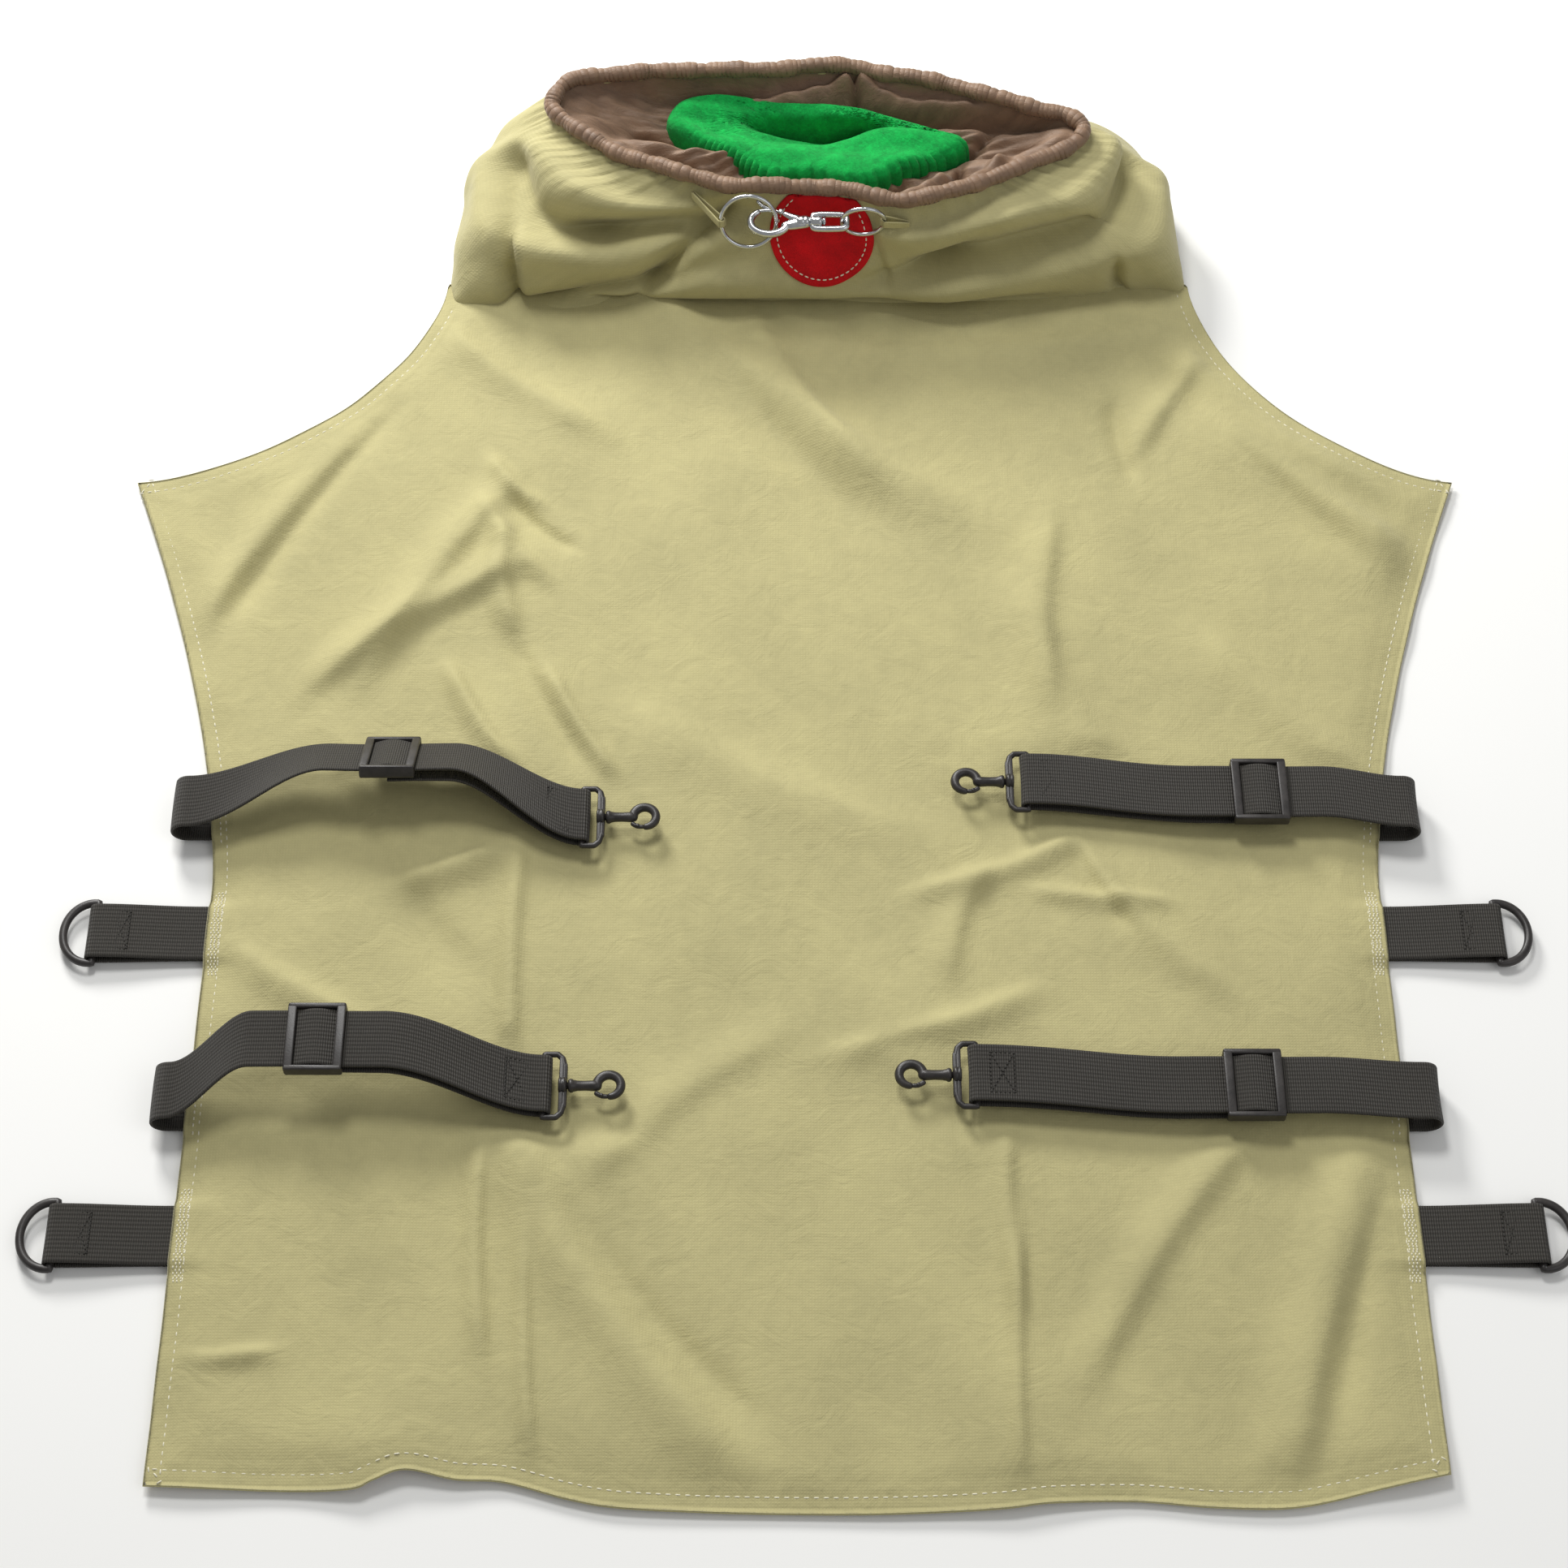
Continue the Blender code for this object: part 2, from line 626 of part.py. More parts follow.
def wall_halves(share):
    """The neck wall's half width, half depth and centre y, from its bulge (0) to its top (1)."""
    top = [h + CASING_T for h in RIM_HALF]
    lean = 1 - (1 - share) ** 1.4
    half_x = BULGE_HALF[0] + (top[0] - BULGE_HALF[0]) * lean
    centre_y = NECK_Y + RIM_SHIFT_Y * share
    front = (NECK_Y - BULGE_HALF[1]) * (1 - share) + (CASING_Y - top[1]) * share
    return half_x, centre_y - front, centre_y


def wall_frame():
    """On the front of the neck tube: local x along X, local y up the wall, local z outwards."""
    low, high = [
        Vector((NECK_X, centre_y - half_y, z))
        for (_, half_y, centre_y), z in ((wall_halves(0), BULGE_Z), (wall_halves(1), WALL_TOP_Z))
    ]
    up = (high - low).normalized()
    out = Vector((1, 0, 0)).cross(up)
    at = low.lerp(high, (PATCH_Z - low.z) / (high.z - low.z))
    at.x = PATCH_X
    turned = Matrix((Vector((1, 0, 0)), up, out)).transposed().to_4x4()
    return Matrix.Translation(at) @ turned


def on_wall(wall, x, up, lift):
    """The point of the neck wall at x and this far up it, lifted off it, in the wall's frame."""
    z = PATCH_Z + up * wall.col[1].z
    half_x, half_y, centre_y = wall_halves((z - BULGE_Z) / (WALL_TOP_Z - BULGE_Z))
    along = (PATCH_X + x - NECK_X) / half_x
    y = centre_y - half_y * math.sqrt(1 - along * along)
    local = wall.inverted() @ Vector((PATCH_X + x, y, z))
    return Vector((x, up, local.z + lift))


def ring_path(x, radius, tilt, steps=20):
    """A round ring in the wall's frame, turned about the closure's axis by tilt."""
    points = []
    for i in range(steps):
        a = 2 * math.pi * i / steps
        across = radius * math.sin(a)
        points.append((
            x + radius * math.cos(a),
            CLIP_UP + across * math.cos(tilt),
            CLIP_LIFT + across * math.sin(tilt),
        ))
    return points


def make_patch(wall):
    ceiling = (WALL_TOP_Z - 0.0015 - PATCH_Z) / wall.col[1].z
    rows = []
    for i in range(15):
        x = -PATCH_R * math.cos(math.radians(12 + 156 * i / 14))
        reach = math.sqrt(PATCH_R * PATCH_R - x * x)
        top = min(reach, ceiling)
        rows.append([on_wall(wall, x, -reach + (reach + top) * j / 5, PATCH_LIFT) for j in range(6)])
    patch = add("neck_patch", turn(strip_mesh(rows), wall), "red_patch")
    solidify(patch, PATCH_T)


def make_clip_tab(wall, name, wire_x, tilt, run, rise):
    """A narrow strip, sewn to the neck wall, that loops round the wire of a ring with this tilt."""
    wire = Vector((wire_x, CLIP_UP, CLIP_LIFT))
    foot = on_wall(wall, wire_x + run, CLIP_UP + rise, 2 * CLIP_TAB_T)
    lead = Vector((foot.x - wire.x, 0, foot.z - wire.z)).normalized()
    side = Vector((-lead.z, 0, lead.x))
    loop_r = CLIP_WIRE_R + CLIP_TAB_PLAY + CLIP_TAB_T / 2
    foot_r = CLIP_TAB_T / 2 + TOUCH_GAP
    middle = [foot + side * foot_r, wire + lead * loop_r + side * loop_r]
    middle += [
        wire + (side * math.cos(a) - lead * math.sin(a)) * loop_r
        for a in (math.pi * i / 6 for i in range(7))
    ]
    middle += [wire + lead * loop_r - side * loop_r, foot - side * foot_r]
    flat = Vector((0, CLIP_TAB_W / 2, 0))
    along = Vector((0, math.cos(tilt), math.sin(tilt))) * CLIP_TAB_W / 2
    halves = [flat] + [along] * (len(middle) - 2) + [flat]
    rows = [[point - half, point + half] for point, half in zip(middle, halves)]
    tab = add(name, turn(strip_mesh(rows), wall), "canvas")
    solidify(tab, CLIP_TAB_T)


def make_closure():
    wall = wall_frame()
    make_patch(wall)
    left_x = CLIP_RING_X - CLIP_RING_R
    right_x = PULL_RING_X + PULL_RING_R
    left = wire_mesh(ring_path(CLIP_RING_X, CLIP_RING_R, CLIP_RING_TILT), CLIP_WIRE_R, True, 1)
    add("clip_ring", turn(left, wall), "chrome", wall @ Vector((left_x, CLIP_UP, CLIP_LIFT)))
    right = wire_mesh(ring_path(PULL_RING_X, PULL_RING_R, PULL_RING_TILT), CLIP_WIRE_R, True, 1)
    add("pull_ring", turn(right, wall), "chrome", wall @ Vector((right_x, CLIP_UP, CLIP_LIFT)))
    make_clip_tab(wall, "clip_tab_left", left_x, CLIP_RING_TILT, -0.014, 0.007)
    make_clip_tab(wall, "clip_tab_right", right_x, PULL_RING_TILT, 0.012, 0.0)
    make_clip(wall @ Matrix.Translation((0, CLIP_UP, CLIP_LIFT)) @ Matrix.Rotation(CLIP_ROLL, 4, "X"))


def oval_arc(centre_x, half, start, end, steps):
    """Points on a flat oval about (centre_x, 0) from one angle to another, in degrees."""
    angles = [math.radians(start + (end - start) * i / steps) for i in range(steps + 1)]
    return [(centre_x + half[0] * math.cos(a), half[1] * math.sin(a)) for a in angles]


def make_clip(frame):
    """The metal snap: a jaw round the clip ring, a sprung lever and an eye that it swivels in."""
    inner = [h - CLIP_JAW_WALL for h in CLIP_JAW_HALF]
    middle = [h - CLIP_JAW_WALL / 2 for h in CLIP_JAW_HALF]
    pivot = oval_arc(CLIP_JAW_X, middle, CLIP_PIVOT, CLIP_PIVOT, 1)[0]
    outline = oval_arc(CLIP_JAW_X, CLIP_JAW_HALF, CLIP_TIP, 330, 18)
    outline += [(CLIP_NECK_X, -0.0042), (CLIP_NECK_X, 0.0042)]
    outline += oval_arc(CLIP_JAW_X, CLIP_JAW_HALF, 30, CLIP_PIVOT - 12, 2)
    outline += oval_arc(CLIP_JAW_X, inner, CLIP_PIVOT - 12, CLIP_TIP - 360, 20)
    jaw = turn(plate_mesh([outline], -CLIP_T / 2, CLIP_T / 2), frame)
    body = add("clip_jaw", jaw, "chrome", frame.translation)
    head_x = CLIP_HEAD_X
    stem = rod_mesh((CLIP_NECK_X - 0.003, 0, 0), (head_x + 0.001, 0, 0), CLIP_STEM_R, 12)
    head = rod_mesh((head_x, 0, 0), (head_x + 0.0014, 0, 0), CLIP_STEM_R + 0.0009, 12)
    boolean(body, cutter("clip_stem", turn(stem, frame)), "UNION")
    boolean(body, cutter("clip_head", turn(head, frame)), "UNION")
    notch = rod_mesh((*pivot, -CLIP_T), (*pivot, CLIP_T), CLIP_BOSS_R + RUN_GAP, 16)
    boolean(body, cutter("clip_notch", turn(notch, frame)), "DIFFERENCE")

    half_t = CLIP_T / 2 - 0.0005
    tip = oval_arc(CLIP_JAW_X, middle, CLIP_TIP - 6, CLIP_TIP - 6, 1)[0]
    ear = (CLIP_JAW_X - 0.0065, CLIP_JAW_HALF[1] + CLIP_EAR_L)
    bar = 0.0009
    lever = arc(pivot, CLIP_BOSS_R, math.radians(-150), math.radians(150), 12)
    lever += [
        (CLIP_JAW_X + 0.0035, pivot[1] + bar * 1.6), (ear[0] + bar, ear[1]), (ear[0] - bar, ear[1] - bar),
        (CLIP_JAW_X + 0.0005, pivot[1] + bar * 1.6), (tip[0], tip[1] + bar), (tip[0], tip[1] - bar),
    ]
    add("clip_lever", turn(plate_mesh([lever], -half_t, half_t), frame), "chrome", frame @ Vector((*pivot, 0)))

    eye_low = CLIP_NECK_X + RUN_GAP
    half_y = CLIP_EYE_HALF
    bevel = 0.0030
    rim = [
        (eye_low, -half_y + bevel), (eye_low + bevel, -half_y), (CLIP_EYE_END - bevel, -half_y),
        (CLIP_EYE_END, -half_y + bevel), (CLIP_EYE_END, half_y - bevel), (CLIP_EYE_END - bevel, half_y),
        (eye_low + bevel, half_y), (eye_low, half_y - bevel),
    ]
    window_low, window_high = head_x - RUN_GAP, CLIP_EYE_END - CLIP_EYE_WALL
    half_w = CLIP_WINDOW_HALF
    window = [(window_low, -half_w), (window_high, -half_w), (window_high, half_w), (window_low, half_w)]
    eye = add("clip_eye", turn(plate_mesh([rim, window], -CLIP_EYE_T / 2, CLIP_EYE_T / 2), frame), "chrome",
              frame @ Vector((window_high - CLIP_WIRE_R, 0, 0)))
    barrel = rod_mesh((eye_low, 0, 0), (window_low, 0, 0), CLIP_STEM_R + 0.0018, 14)
    boolean(eye, cutter("clip_barrel", turn(barrel, frame)), "UNION")
    bore = rod_mesh((eye_low - 0.001, 0, 0), (window_low + 0.001, 0, 0), CLIP_STEM_R + STEM_GAP, 14)
    boolean(eye, cutter("clip_bore", turn(bore, frame)), "DIFFERENCE")


# ---------------------------------------------------------------- build

clear_scene()
sheet = make_collection("fly_sheet")
cutters = make_collection("cutters")
materials = make_materials()
make_sheet()
make_neck()
for strap_name, strap_values in STRAPS.items():
    make_strap(strap_name, strap_values)
for tab_name, (tab_side, tab_y) in TABS.items():
    make_tab(tab_name, tab_side, tab_y)
make_closure()
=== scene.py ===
"""A canvas cover for a small stabled animal, finished in cloth, webbing, moulded plastic and metal.

Every piece is a surface worked out as whole arrays, in metres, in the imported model's frame:
+X to the sheet's right edge, +Y to the neck, +Z up from the floor.
"""

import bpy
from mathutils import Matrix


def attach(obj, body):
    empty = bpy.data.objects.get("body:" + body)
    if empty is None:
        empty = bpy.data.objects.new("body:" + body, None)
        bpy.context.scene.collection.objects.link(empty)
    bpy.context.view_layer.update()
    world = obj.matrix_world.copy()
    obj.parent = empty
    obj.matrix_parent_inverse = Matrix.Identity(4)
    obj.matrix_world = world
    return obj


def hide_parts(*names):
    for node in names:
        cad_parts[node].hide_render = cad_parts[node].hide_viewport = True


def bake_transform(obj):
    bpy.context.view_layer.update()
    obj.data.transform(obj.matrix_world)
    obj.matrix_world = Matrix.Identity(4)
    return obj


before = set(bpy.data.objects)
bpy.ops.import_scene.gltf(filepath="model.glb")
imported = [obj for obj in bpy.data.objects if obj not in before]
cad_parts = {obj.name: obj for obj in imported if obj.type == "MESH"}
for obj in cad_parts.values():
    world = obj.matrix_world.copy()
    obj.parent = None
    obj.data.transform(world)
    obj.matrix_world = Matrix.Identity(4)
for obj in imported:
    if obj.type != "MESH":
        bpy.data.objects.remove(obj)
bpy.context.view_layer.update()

import math

import bmesh
import bpy
import numpy as np
from mathutils import Matrix, Vector

bl_info = {
    "name": "Fly Sheet",
    "version": (1, 0, 0),
    "blender": (4, 5, 0),
    "location": "3D View > Sidebar > Fly Sheet",
    "description": "Makes a strapped canvas cover with a gathered neck",
    "category": "Add Mesh",
}

# ---------------------------------------------------------------- sizes shared with the solids

SHEET_HALF, SHOULDER_HALF = 0.305, 0.374
HEM_Y, FLARE_Y, SHOULDER_Y = -0.440, -0.110, 0.157
NECK_HALF, NECK_TOP_Y, FRONT_CURVE = 0.220, 0.305, 1.65
NECK_X, NECK_Y = 0.014, 0.363
CANVAS_TOP, SEWN_Z = 0.0060, 0.0033
WEB_W, WEB_T, CLEAR_W = 0.030, 0.0016, 0.0316
PLY_OFFSET, HOOK_Z, RUN_Z = 0.0032, 0.0146, 0.0178
FOLD_Z, FOLD_R, FOLD_X = 0.01055, 0.00725, 0.00855
SLIDER_L, SLIDER_RAIL, PLATEAU = 0.0290, 0.0030, 0.0325
HOOK_R, SHANK_L, STEM_R = 0.0060, 0.0150, 0.0020
TAB_L, TAB_Z, RING_WIRE_R, RING_DEPTH = 0.058, 0.0043, 0.0020, 0.0165
CLIP_UP, CLIP_LIFT, CLIP_WIRE_R = 0.0090, 0.0140, 0.0013

# name: side, y, then at the slider x, shift, lift and roll, then at the hook's bar x and shift
STRAPS = {
    "front_left": (-1, -0.065, (0.214, 0.020, 0.008, -32), (0.112, -0.008)),
    "front_right": (1, -0.065, (0.245, 0.006, 0.000, 0), (0.123, 0.014)),
    "rear_left": (-1, -0.234, (0.239, 0.021, 0.015, 0), (0.126, 0.004)),
    "rear_right": (1, -0.234, (0.228, 0.003, 0.000, 0), (0.090, 0.010)),
}
TABS = {
    "front_left": (-1, -0.137),
    "front_right": (1, -0.137),
    "rear_left": (-1, -0.306),
    "rear_right": (1, -0.306),
}

# Folds in the laid sheet: start x, y, end x, y, half width and height, in millimetres
SHEET_FOLDS = (
    (-71, 278, 60, 158, 17, 3.2),
    (-14, 253, 37, 169, 9, 2.0),
    (-40, 240, 20, 150, 12, -1.8),
    (-156, 137, -132, 115, 5, -1.9),
    (-168, 164, -150, 144, 5, 1.7),
    (-164, 112, -159, 66, 8, 2.6),
    (-170, 130, -146, 96, 6, 1.8),
    (-260, 175, -321, 70, 9, 2.8),
    (-246, 190, -300, 90, 10, -2.2),
    (-176, 84, -246, 32, 10, 2.8),
    (-178, 129, -225, 45, 11, 2.4),
    (-183, 16, -155, -31, 6, 2.4),
    (-150, 34, -121, -20, 7, -1.6),
    (-128, 13, -103, -31, 5, 2.0),
    (239, 193, 345, 100, 17, 3.6),
    (246, 229, 310, 166, 9, 2.2),
    (226, 214, 300, 120, 11, -2.4),
    (185, 204, 190, 168, 5, -1.8),
    (141, 106, 137, 24, 9, 1.8),
    (128, 60, 160, -20, 15, 1.8),
    (149, -94, 166, -126, 5, -1.8),
    (135, -114, 180, -119, 5, 1.6),
    (80, -109, 134, -88, 7, 2.0),
    (92, -112, 80, -150, 8, 1.6),
    (156, -100, 205, -158, 9, 1.8),
    (-196, -104, -154, -84, 8, 2.4),
    (-145, -89, -145, -190, 6, 2.0),
    (-129, -276, -56, -392, 15, 3.4),
    (-110, -300, -40, -380, 10, -1.6),
    (-157, -276, -153, -348, 6, 2.0),
    (-132, -330, -124, -424, 4.5, 1.5),
    (108, -322, 105, -420, 4.5, 1.4),
    (279, -289, 232, -424, 14, 3.2),
    (300, -250, 262, -370, 10, -1.8),
    (208, -271, 151, -356, 11, 2.2),
    (104, -266, 106, -330, 6, 1.6),
    (-300, -368, -262, -368, 5, 1.6),
    (37, -204, 105, -180, 8, 1.6),
    (-298, -143, -189, -209, 9, 1.8),
    (-60, -20, 40, -70, 16, 1.6),
    (-250, -40, -185, -140, 13, -1.6),
    (-30, -210, -90, -260, 12, 1.4),
    (240, 30, 300, -40, 12, 1.8),
    (60, 250, 190, 262, 12, 1.6),
    (-200, 262, -130, 205, 9, 2.0),
    (250, 262, 205, 196, 9, 2.2),
)
# Folds in the standing neck cloth: start x, height, end x, height up it, half width and depth
NECK_FOLDS = (
    (-178, 68, -120, 62, 7, 4.5),
    (-120, 62, -48, 60, 5, 4.0),
    (-172, 58, -115, 50, 7, -7.5),
    (-115, 50, -42, 60, 6, -8.0),
    (-168, 38, -70, 44, 8, 5.0),
    (-44, 58, -82, 24, 5, -9.0),
    (-82, 24, -156, 4, 6, -8.0),
    (-96, 6, 96, 7, 7, -8.0),
    (-76, 26, 66, 25, 10, 4.0),
    (46, 62, 52, 30, 4, -4.0),
    (46, 26, 92, 40, 7, -8.0),
    (92, 40, 198, 56, 7, -9.0),
    (52, 56, 120, 60, 7, 4.5),
    (120, 60, 192, 66, 7, 5.0),
    (100, 22, 204, 34, 11, 4.0),
    (190, 22, 195, 2, 4, -5.0),
    (-166, 34, -162, -4, 5, -8.0),
)
# Pleats in the brown neck lining, seen from above
LINING_FOLDS = (
    (-30, 392, 30, 402, 5, 5.0),
    (36, 404, 42, 380, 2.6, -5.0),
    (46, 398, 96, 384, 4, 3.5),
    (60, 386, 150, 372, 3.4, -5.0),
    (96, 372, 152, 360, 6, 3.0),
    (92, 352, 112, 366, 3, -4.0),
    (110, 348, 150, 352, 5, 2.5),
    (-88, 372, -62, 366, 3.2, -5.5),
    (-84, 358, -34, 352, 5, 4.5),
    (-70, 346, -40, 338, 3, -4.0),
    (-134, 372, -96, 384, 6, 1.6),
    (-100, 352, -60, 334, 4, 2.6),
    (44, 318, 60, 330, 3, -4.5),
    (62, 316, 84, 332, 5, 4.0),
    (88, 322, 96, 340, 2.6, -4.0),
    (104, 330, 118, 344, 4, 3.0),
)
RIM_LINE = (
    (-142, 379), (-135, 393), (-122, 400), (-95, 404), (-62, 407), (-23, 405), (10, 408), (35, 409),
    (54, 404), (85, 397), (113, 385), (142, 374), (158, 370), (168, 361), (167, 353), (159, 345),
    (143, 336), (119, 322), (91, 309), (66, 303), (48, 306), (28, 312), (5, 314), (-18, 313),
    (-37, 313), (-51, 318), (-67, 324), (-85, 333), (-104, 341), (-120, 353), (-131, 362), (-140, 371),
)
GAITER_LINE = (
    (-72, 388), (-62, 398), (-38, 397), (-9, 391), (25, 388), (58, 380), (84, 368), (101, 361),
    (98, 354), (84, 347), (66, 341), (49, 332), (36, 329), (10, 335), (-14, 336), (-27, 341),
    (-37, 350), (-56, 360), (-69, 369), (-75, 378),
)
# Foot of the neck cloth: straight along the front seam, round at the back
FOOT_LINE = (
    (-203, 300), (-194, 288), (-150, 283), (-95, 286), (-38, 288), (14, 288), (66, 288), (110, 289),
    (160, 294), (206, 299), (230, 301), (229, 320), (226, 348), (220, 374), (206, 394), (174, 410),
    (110, 422), (14, 427), (-82, 422), (-148, 410), (-182, 394), (-196, 372), (-200, 346), (-203, 318),
)
HEM_LINE = (
    (-305, -432), (-247, -434), (-209, -434), (-198, -430), (-183, -425), (-160, -429), (-137, -430),
    (-107, -438), (-84, -442), (-46, -444), (0, -445), (44, -445), (94, -443), (120, -440),
    (158, -439), (196, -442), (233, -442), (272, -434), (305, -427),
)


# ---------------------------------------------------------------- properties


def colour_property(name, text, value):
    return bpy.props.StringProperty(name=name, description=text + ", as sRGB hex", default=value)


def length_property(name, text, value):
    return bpy.props.FloatProperty(name=name, description=text, default=value, unit="LENGTH", min=0)


class FlySheetSizes(bpy.types.PropertyGroup):
    cloth: length_property("Canvas thickness", "Thickness of the outer cloth", 0.0013)
    hem: length_property("Hem", "Width of the turned hem", 0.012)
    stitch: length_property("Stitch", "Length of one stitch with its gap", 0.0046)
    thread: length_property("Thread", "Radius of the sewing thread", 0.0004)
    gather: length_property("Gather", "Spacing of the gathers in the rim casing", 0.0034)
    folds: bpy.props.FloatProperty(
        name="Folds", description="How deep the laid folds are, 1 as made", default=1.0, min=0, max=2, subtype="FACTOR"
    )


class FlySheetColours(bpy.types.PropertyGroup):
    canvas: colour_property("Canvas", "Khaki outer cloth", "B9B180")
    lining: colour_property("Lining", "Brown nylon", "846A55")
    fleece: colour_property("Fleece", "Green neck warmer", "0A9A42")
    webbing: colour_property("Webbing", "Strap webbing", "322F2A")
    plastic: colour_property("Plastic", "Sliders, hooks and rings", "2A2726")
    patch: colour_property("Patch", "Round patch", "CC0612")
    metal: colour_property("Metal", "Clip and wire rings", "D6D8DA")
    thread: colour_property("Thread", "Sewing thread", "EDE8CF")
    floor: colour_property("Floor", "Studio floor", "F4F4F2")


def sizes():
    return bpy.context.scene.fly_sheet_sizes


def hexes():
    return bpy.context.scene.fly_sheet_colours


# ---------------------------------------------------------------- arrays and meshes


def unit(vectors):
    return vectors / np.maximum(np.linalg.norm(vectors, axis=-1, keepdims=True), 1e-12)


def smooth(share):
    share = np.clip(share, 0.0, 1.0)
    return share * share * (3 - 2 * share)


def through(points, count, closed=False):
    """A curve through points at equal steps along it: each span is the cubic whose end slopes are half the step between its neighbours."""
    p = np.asarray(points, float)
    n = len(p)
    spans = n if closed else n - 1
    at = np.linspace(0, spans, 24 * spans, endpoint=not closed)
    i = np.minimum(at.astype(int), spans - 1)
    f = (at - i)[:, None]
    pick = (lambda k: p[k % n]) if closed else (lambda k: p[np.clip(k, 0, n - 1)])
    a, b, c, d = pick(i - 1), pick(i), pick(i + 1), pick(i + 2)
    dense = b + 0.5 * f * (c - a + f * (2 * a - 5 * b + 4 * c - d + f * (3 * (b - c) + d - a)))
    return even(np.vstack([dense, dense[:1]]) if closed else dense, count, not closed)


def even(line, count, ends=True):
    """The same line with count points at equal distances along it."""
    run = np.concatenate([[0], np.cumsum(np.linalg.norm(np.diff(line, axis=0), axis=1))])
    at = np.linspace(0, run[-1], count, endpoint=ends)
    return np.stack([np.interp(at, run, line[:, k]) for k in range(line.shape[1])], 1)


def loop_at(points, angles, centre, half):
    """The closed curve through points at these angles, taken in a frame that makes the oval round."""
    dense = through(points, 2400, True)
    found = np.arctan2((dense[:, 1] - centre[1]) / half[1], (dense[:, 0] - centre[0]) / half[0])
    order = np.argsort(found)
    found, dense = found[order], dense[order]
    wrapped = np.mod(angles + np.pi, 2 * np.pi) - np.pi
    return np.stack([np.interp(wrapped, found, dense[:, k], period=2 * np.pi) for k in (0, 1)], -1)


def ripples(x, y, seed, waves, long, short, height):
    """Low rolling height: a sum of sine waves whose lengths, directions and starts come from a seed."""
    rng = np.random.default_rng(seed)
    length = np.exp(rng.uniform(math.log(short), math.log(long), waves))
    turn = rng.uniform(0, 2 * np.pi, waves)
    start = rng.uniform(0, 2 * np.pi, waves)
    share = (length / length.max()) ** 0.8
    wave = 2 * np.pi * (x[..., None] * np.cos(turn) + y[..., None] * np.sin(turn)) / length + start
    return height * (np.sin(wave) * share).sum(-1) / math.sqrt(waves)


def folds(x, y, listed, bend=0.0):
    """Height of the listed folds at x, y in millimetres: a bell across each line that fades along its ends."""
    total = np.zeros(np.shape(x))
    for x0, y0, x1, y1, width, height in listed:
        dx, dy = x1 - x0, y1 - y0
        length = math.hypot(dx, dy)
        along = ((x - x0) * dx + (y - y0) * dy) / length
        off = ((x - x0) * -dy + (y - y0) * dx) / length
        off = off + bend * width * np.sin(np.pi * along / length)
        over = np.maximum(np.maximum(-along, along - length), 0) / (width + 0.18 * length)
        narrow = width * np.where(off > 0, 0.75, 1.25)
        total += height * np.exp(-((off / narrow) ** 2) - over * over)
    return total


def normals_of(grid, wrap):
    """Unit normals of a grid of points: the cross product of its two central differences."""
    across = np.roll(grid, -1, 1) - np.roll(grid, 1, 1) if wrap else np.gradient(grid, axis=1)
    return unit(np.cross(across, np.gradient(grid, axis=0)))


def quads(rows, cols):
    """Corner numbers of the four-sided faces of an open rows by cols grid."""
    i = np.arange(rows * cols).reshape(rows, cols)
    return np.stack([i[:-1, :-1], i[:-1, 1:], i[1:, 1:], i[1:, :-1]], -1).reshape(-1, 4)


def shell(grid, thickness, wrap=False, uv=None):
    """A closed cloth about a grid: its two faces lie half the thickness along the normals either side,
    and a rounded edge that stands out by the same joins them. wrap closes the grid across."""
    normal = normals_of(grid, wrap)
    half = np.broadcast_to(np.asarray(thickness, float) / 2, grid.shape[:2])[..., None]
    if wrap:
        grid, normal, half = (np.concatenate([a, a[:, :1]], 1) for a in (grid, normal, half))
    rows, cols = grid.shape[:2]
    i = np.arange(rows * cols).reshape(rows, cols)
    loops = [i[0], i[-1][::-1]] if wrap else [
        np.concatenate([i[0], i[1:, -1], i[-1, -2::-1], i[-2:0:-1, 0], i[0, :1]])
    ]
    if uv is None:
        uv = np.zeros((rows, cols, 2))
    points = [(grid + normal * half).reshape(-1, 3), (grid - normal * half).reshape(-1, 3)]
    maps = [uv.reshape(-1, 2)] * 2
    total = rows * cols
    faces = [quads(rows, cols), quads(rows, cols)[:, ::-1] + total]
    start = 2 * total
    for loop in loops:
        r, c = loop // cols, loop % cols
        inner = grid[np.clip(r, 1, rows - 2), c if wrap else np.clip(c, 1, cols - 2)]
        out = unit(grid[r, c] - inner) * half[r, c]
        for share in (0.55, 0.9, 0.55):
            points.append(grid[r, c] + out * share + normal[r, c] * half[r, c] * {0.9: 0}.get(share, 0.75)
                          * (1 if len(points) % 3 == 2 else -1))
            maps.append(uv[r, c])
        k = len(loop)
        bands = [loop, *(start + k * j + np.arange(k) for j in range(3)), loop + total]
        faces += [np.stack([a[1:], a[:-1], b[:-1], b[1:]], 1) for a, b in zip(bands[:-1], bands[1:])]
        start += 3 * k
    return np.concatenate(points), np.concatenate(faces), np.concatenate(maps)


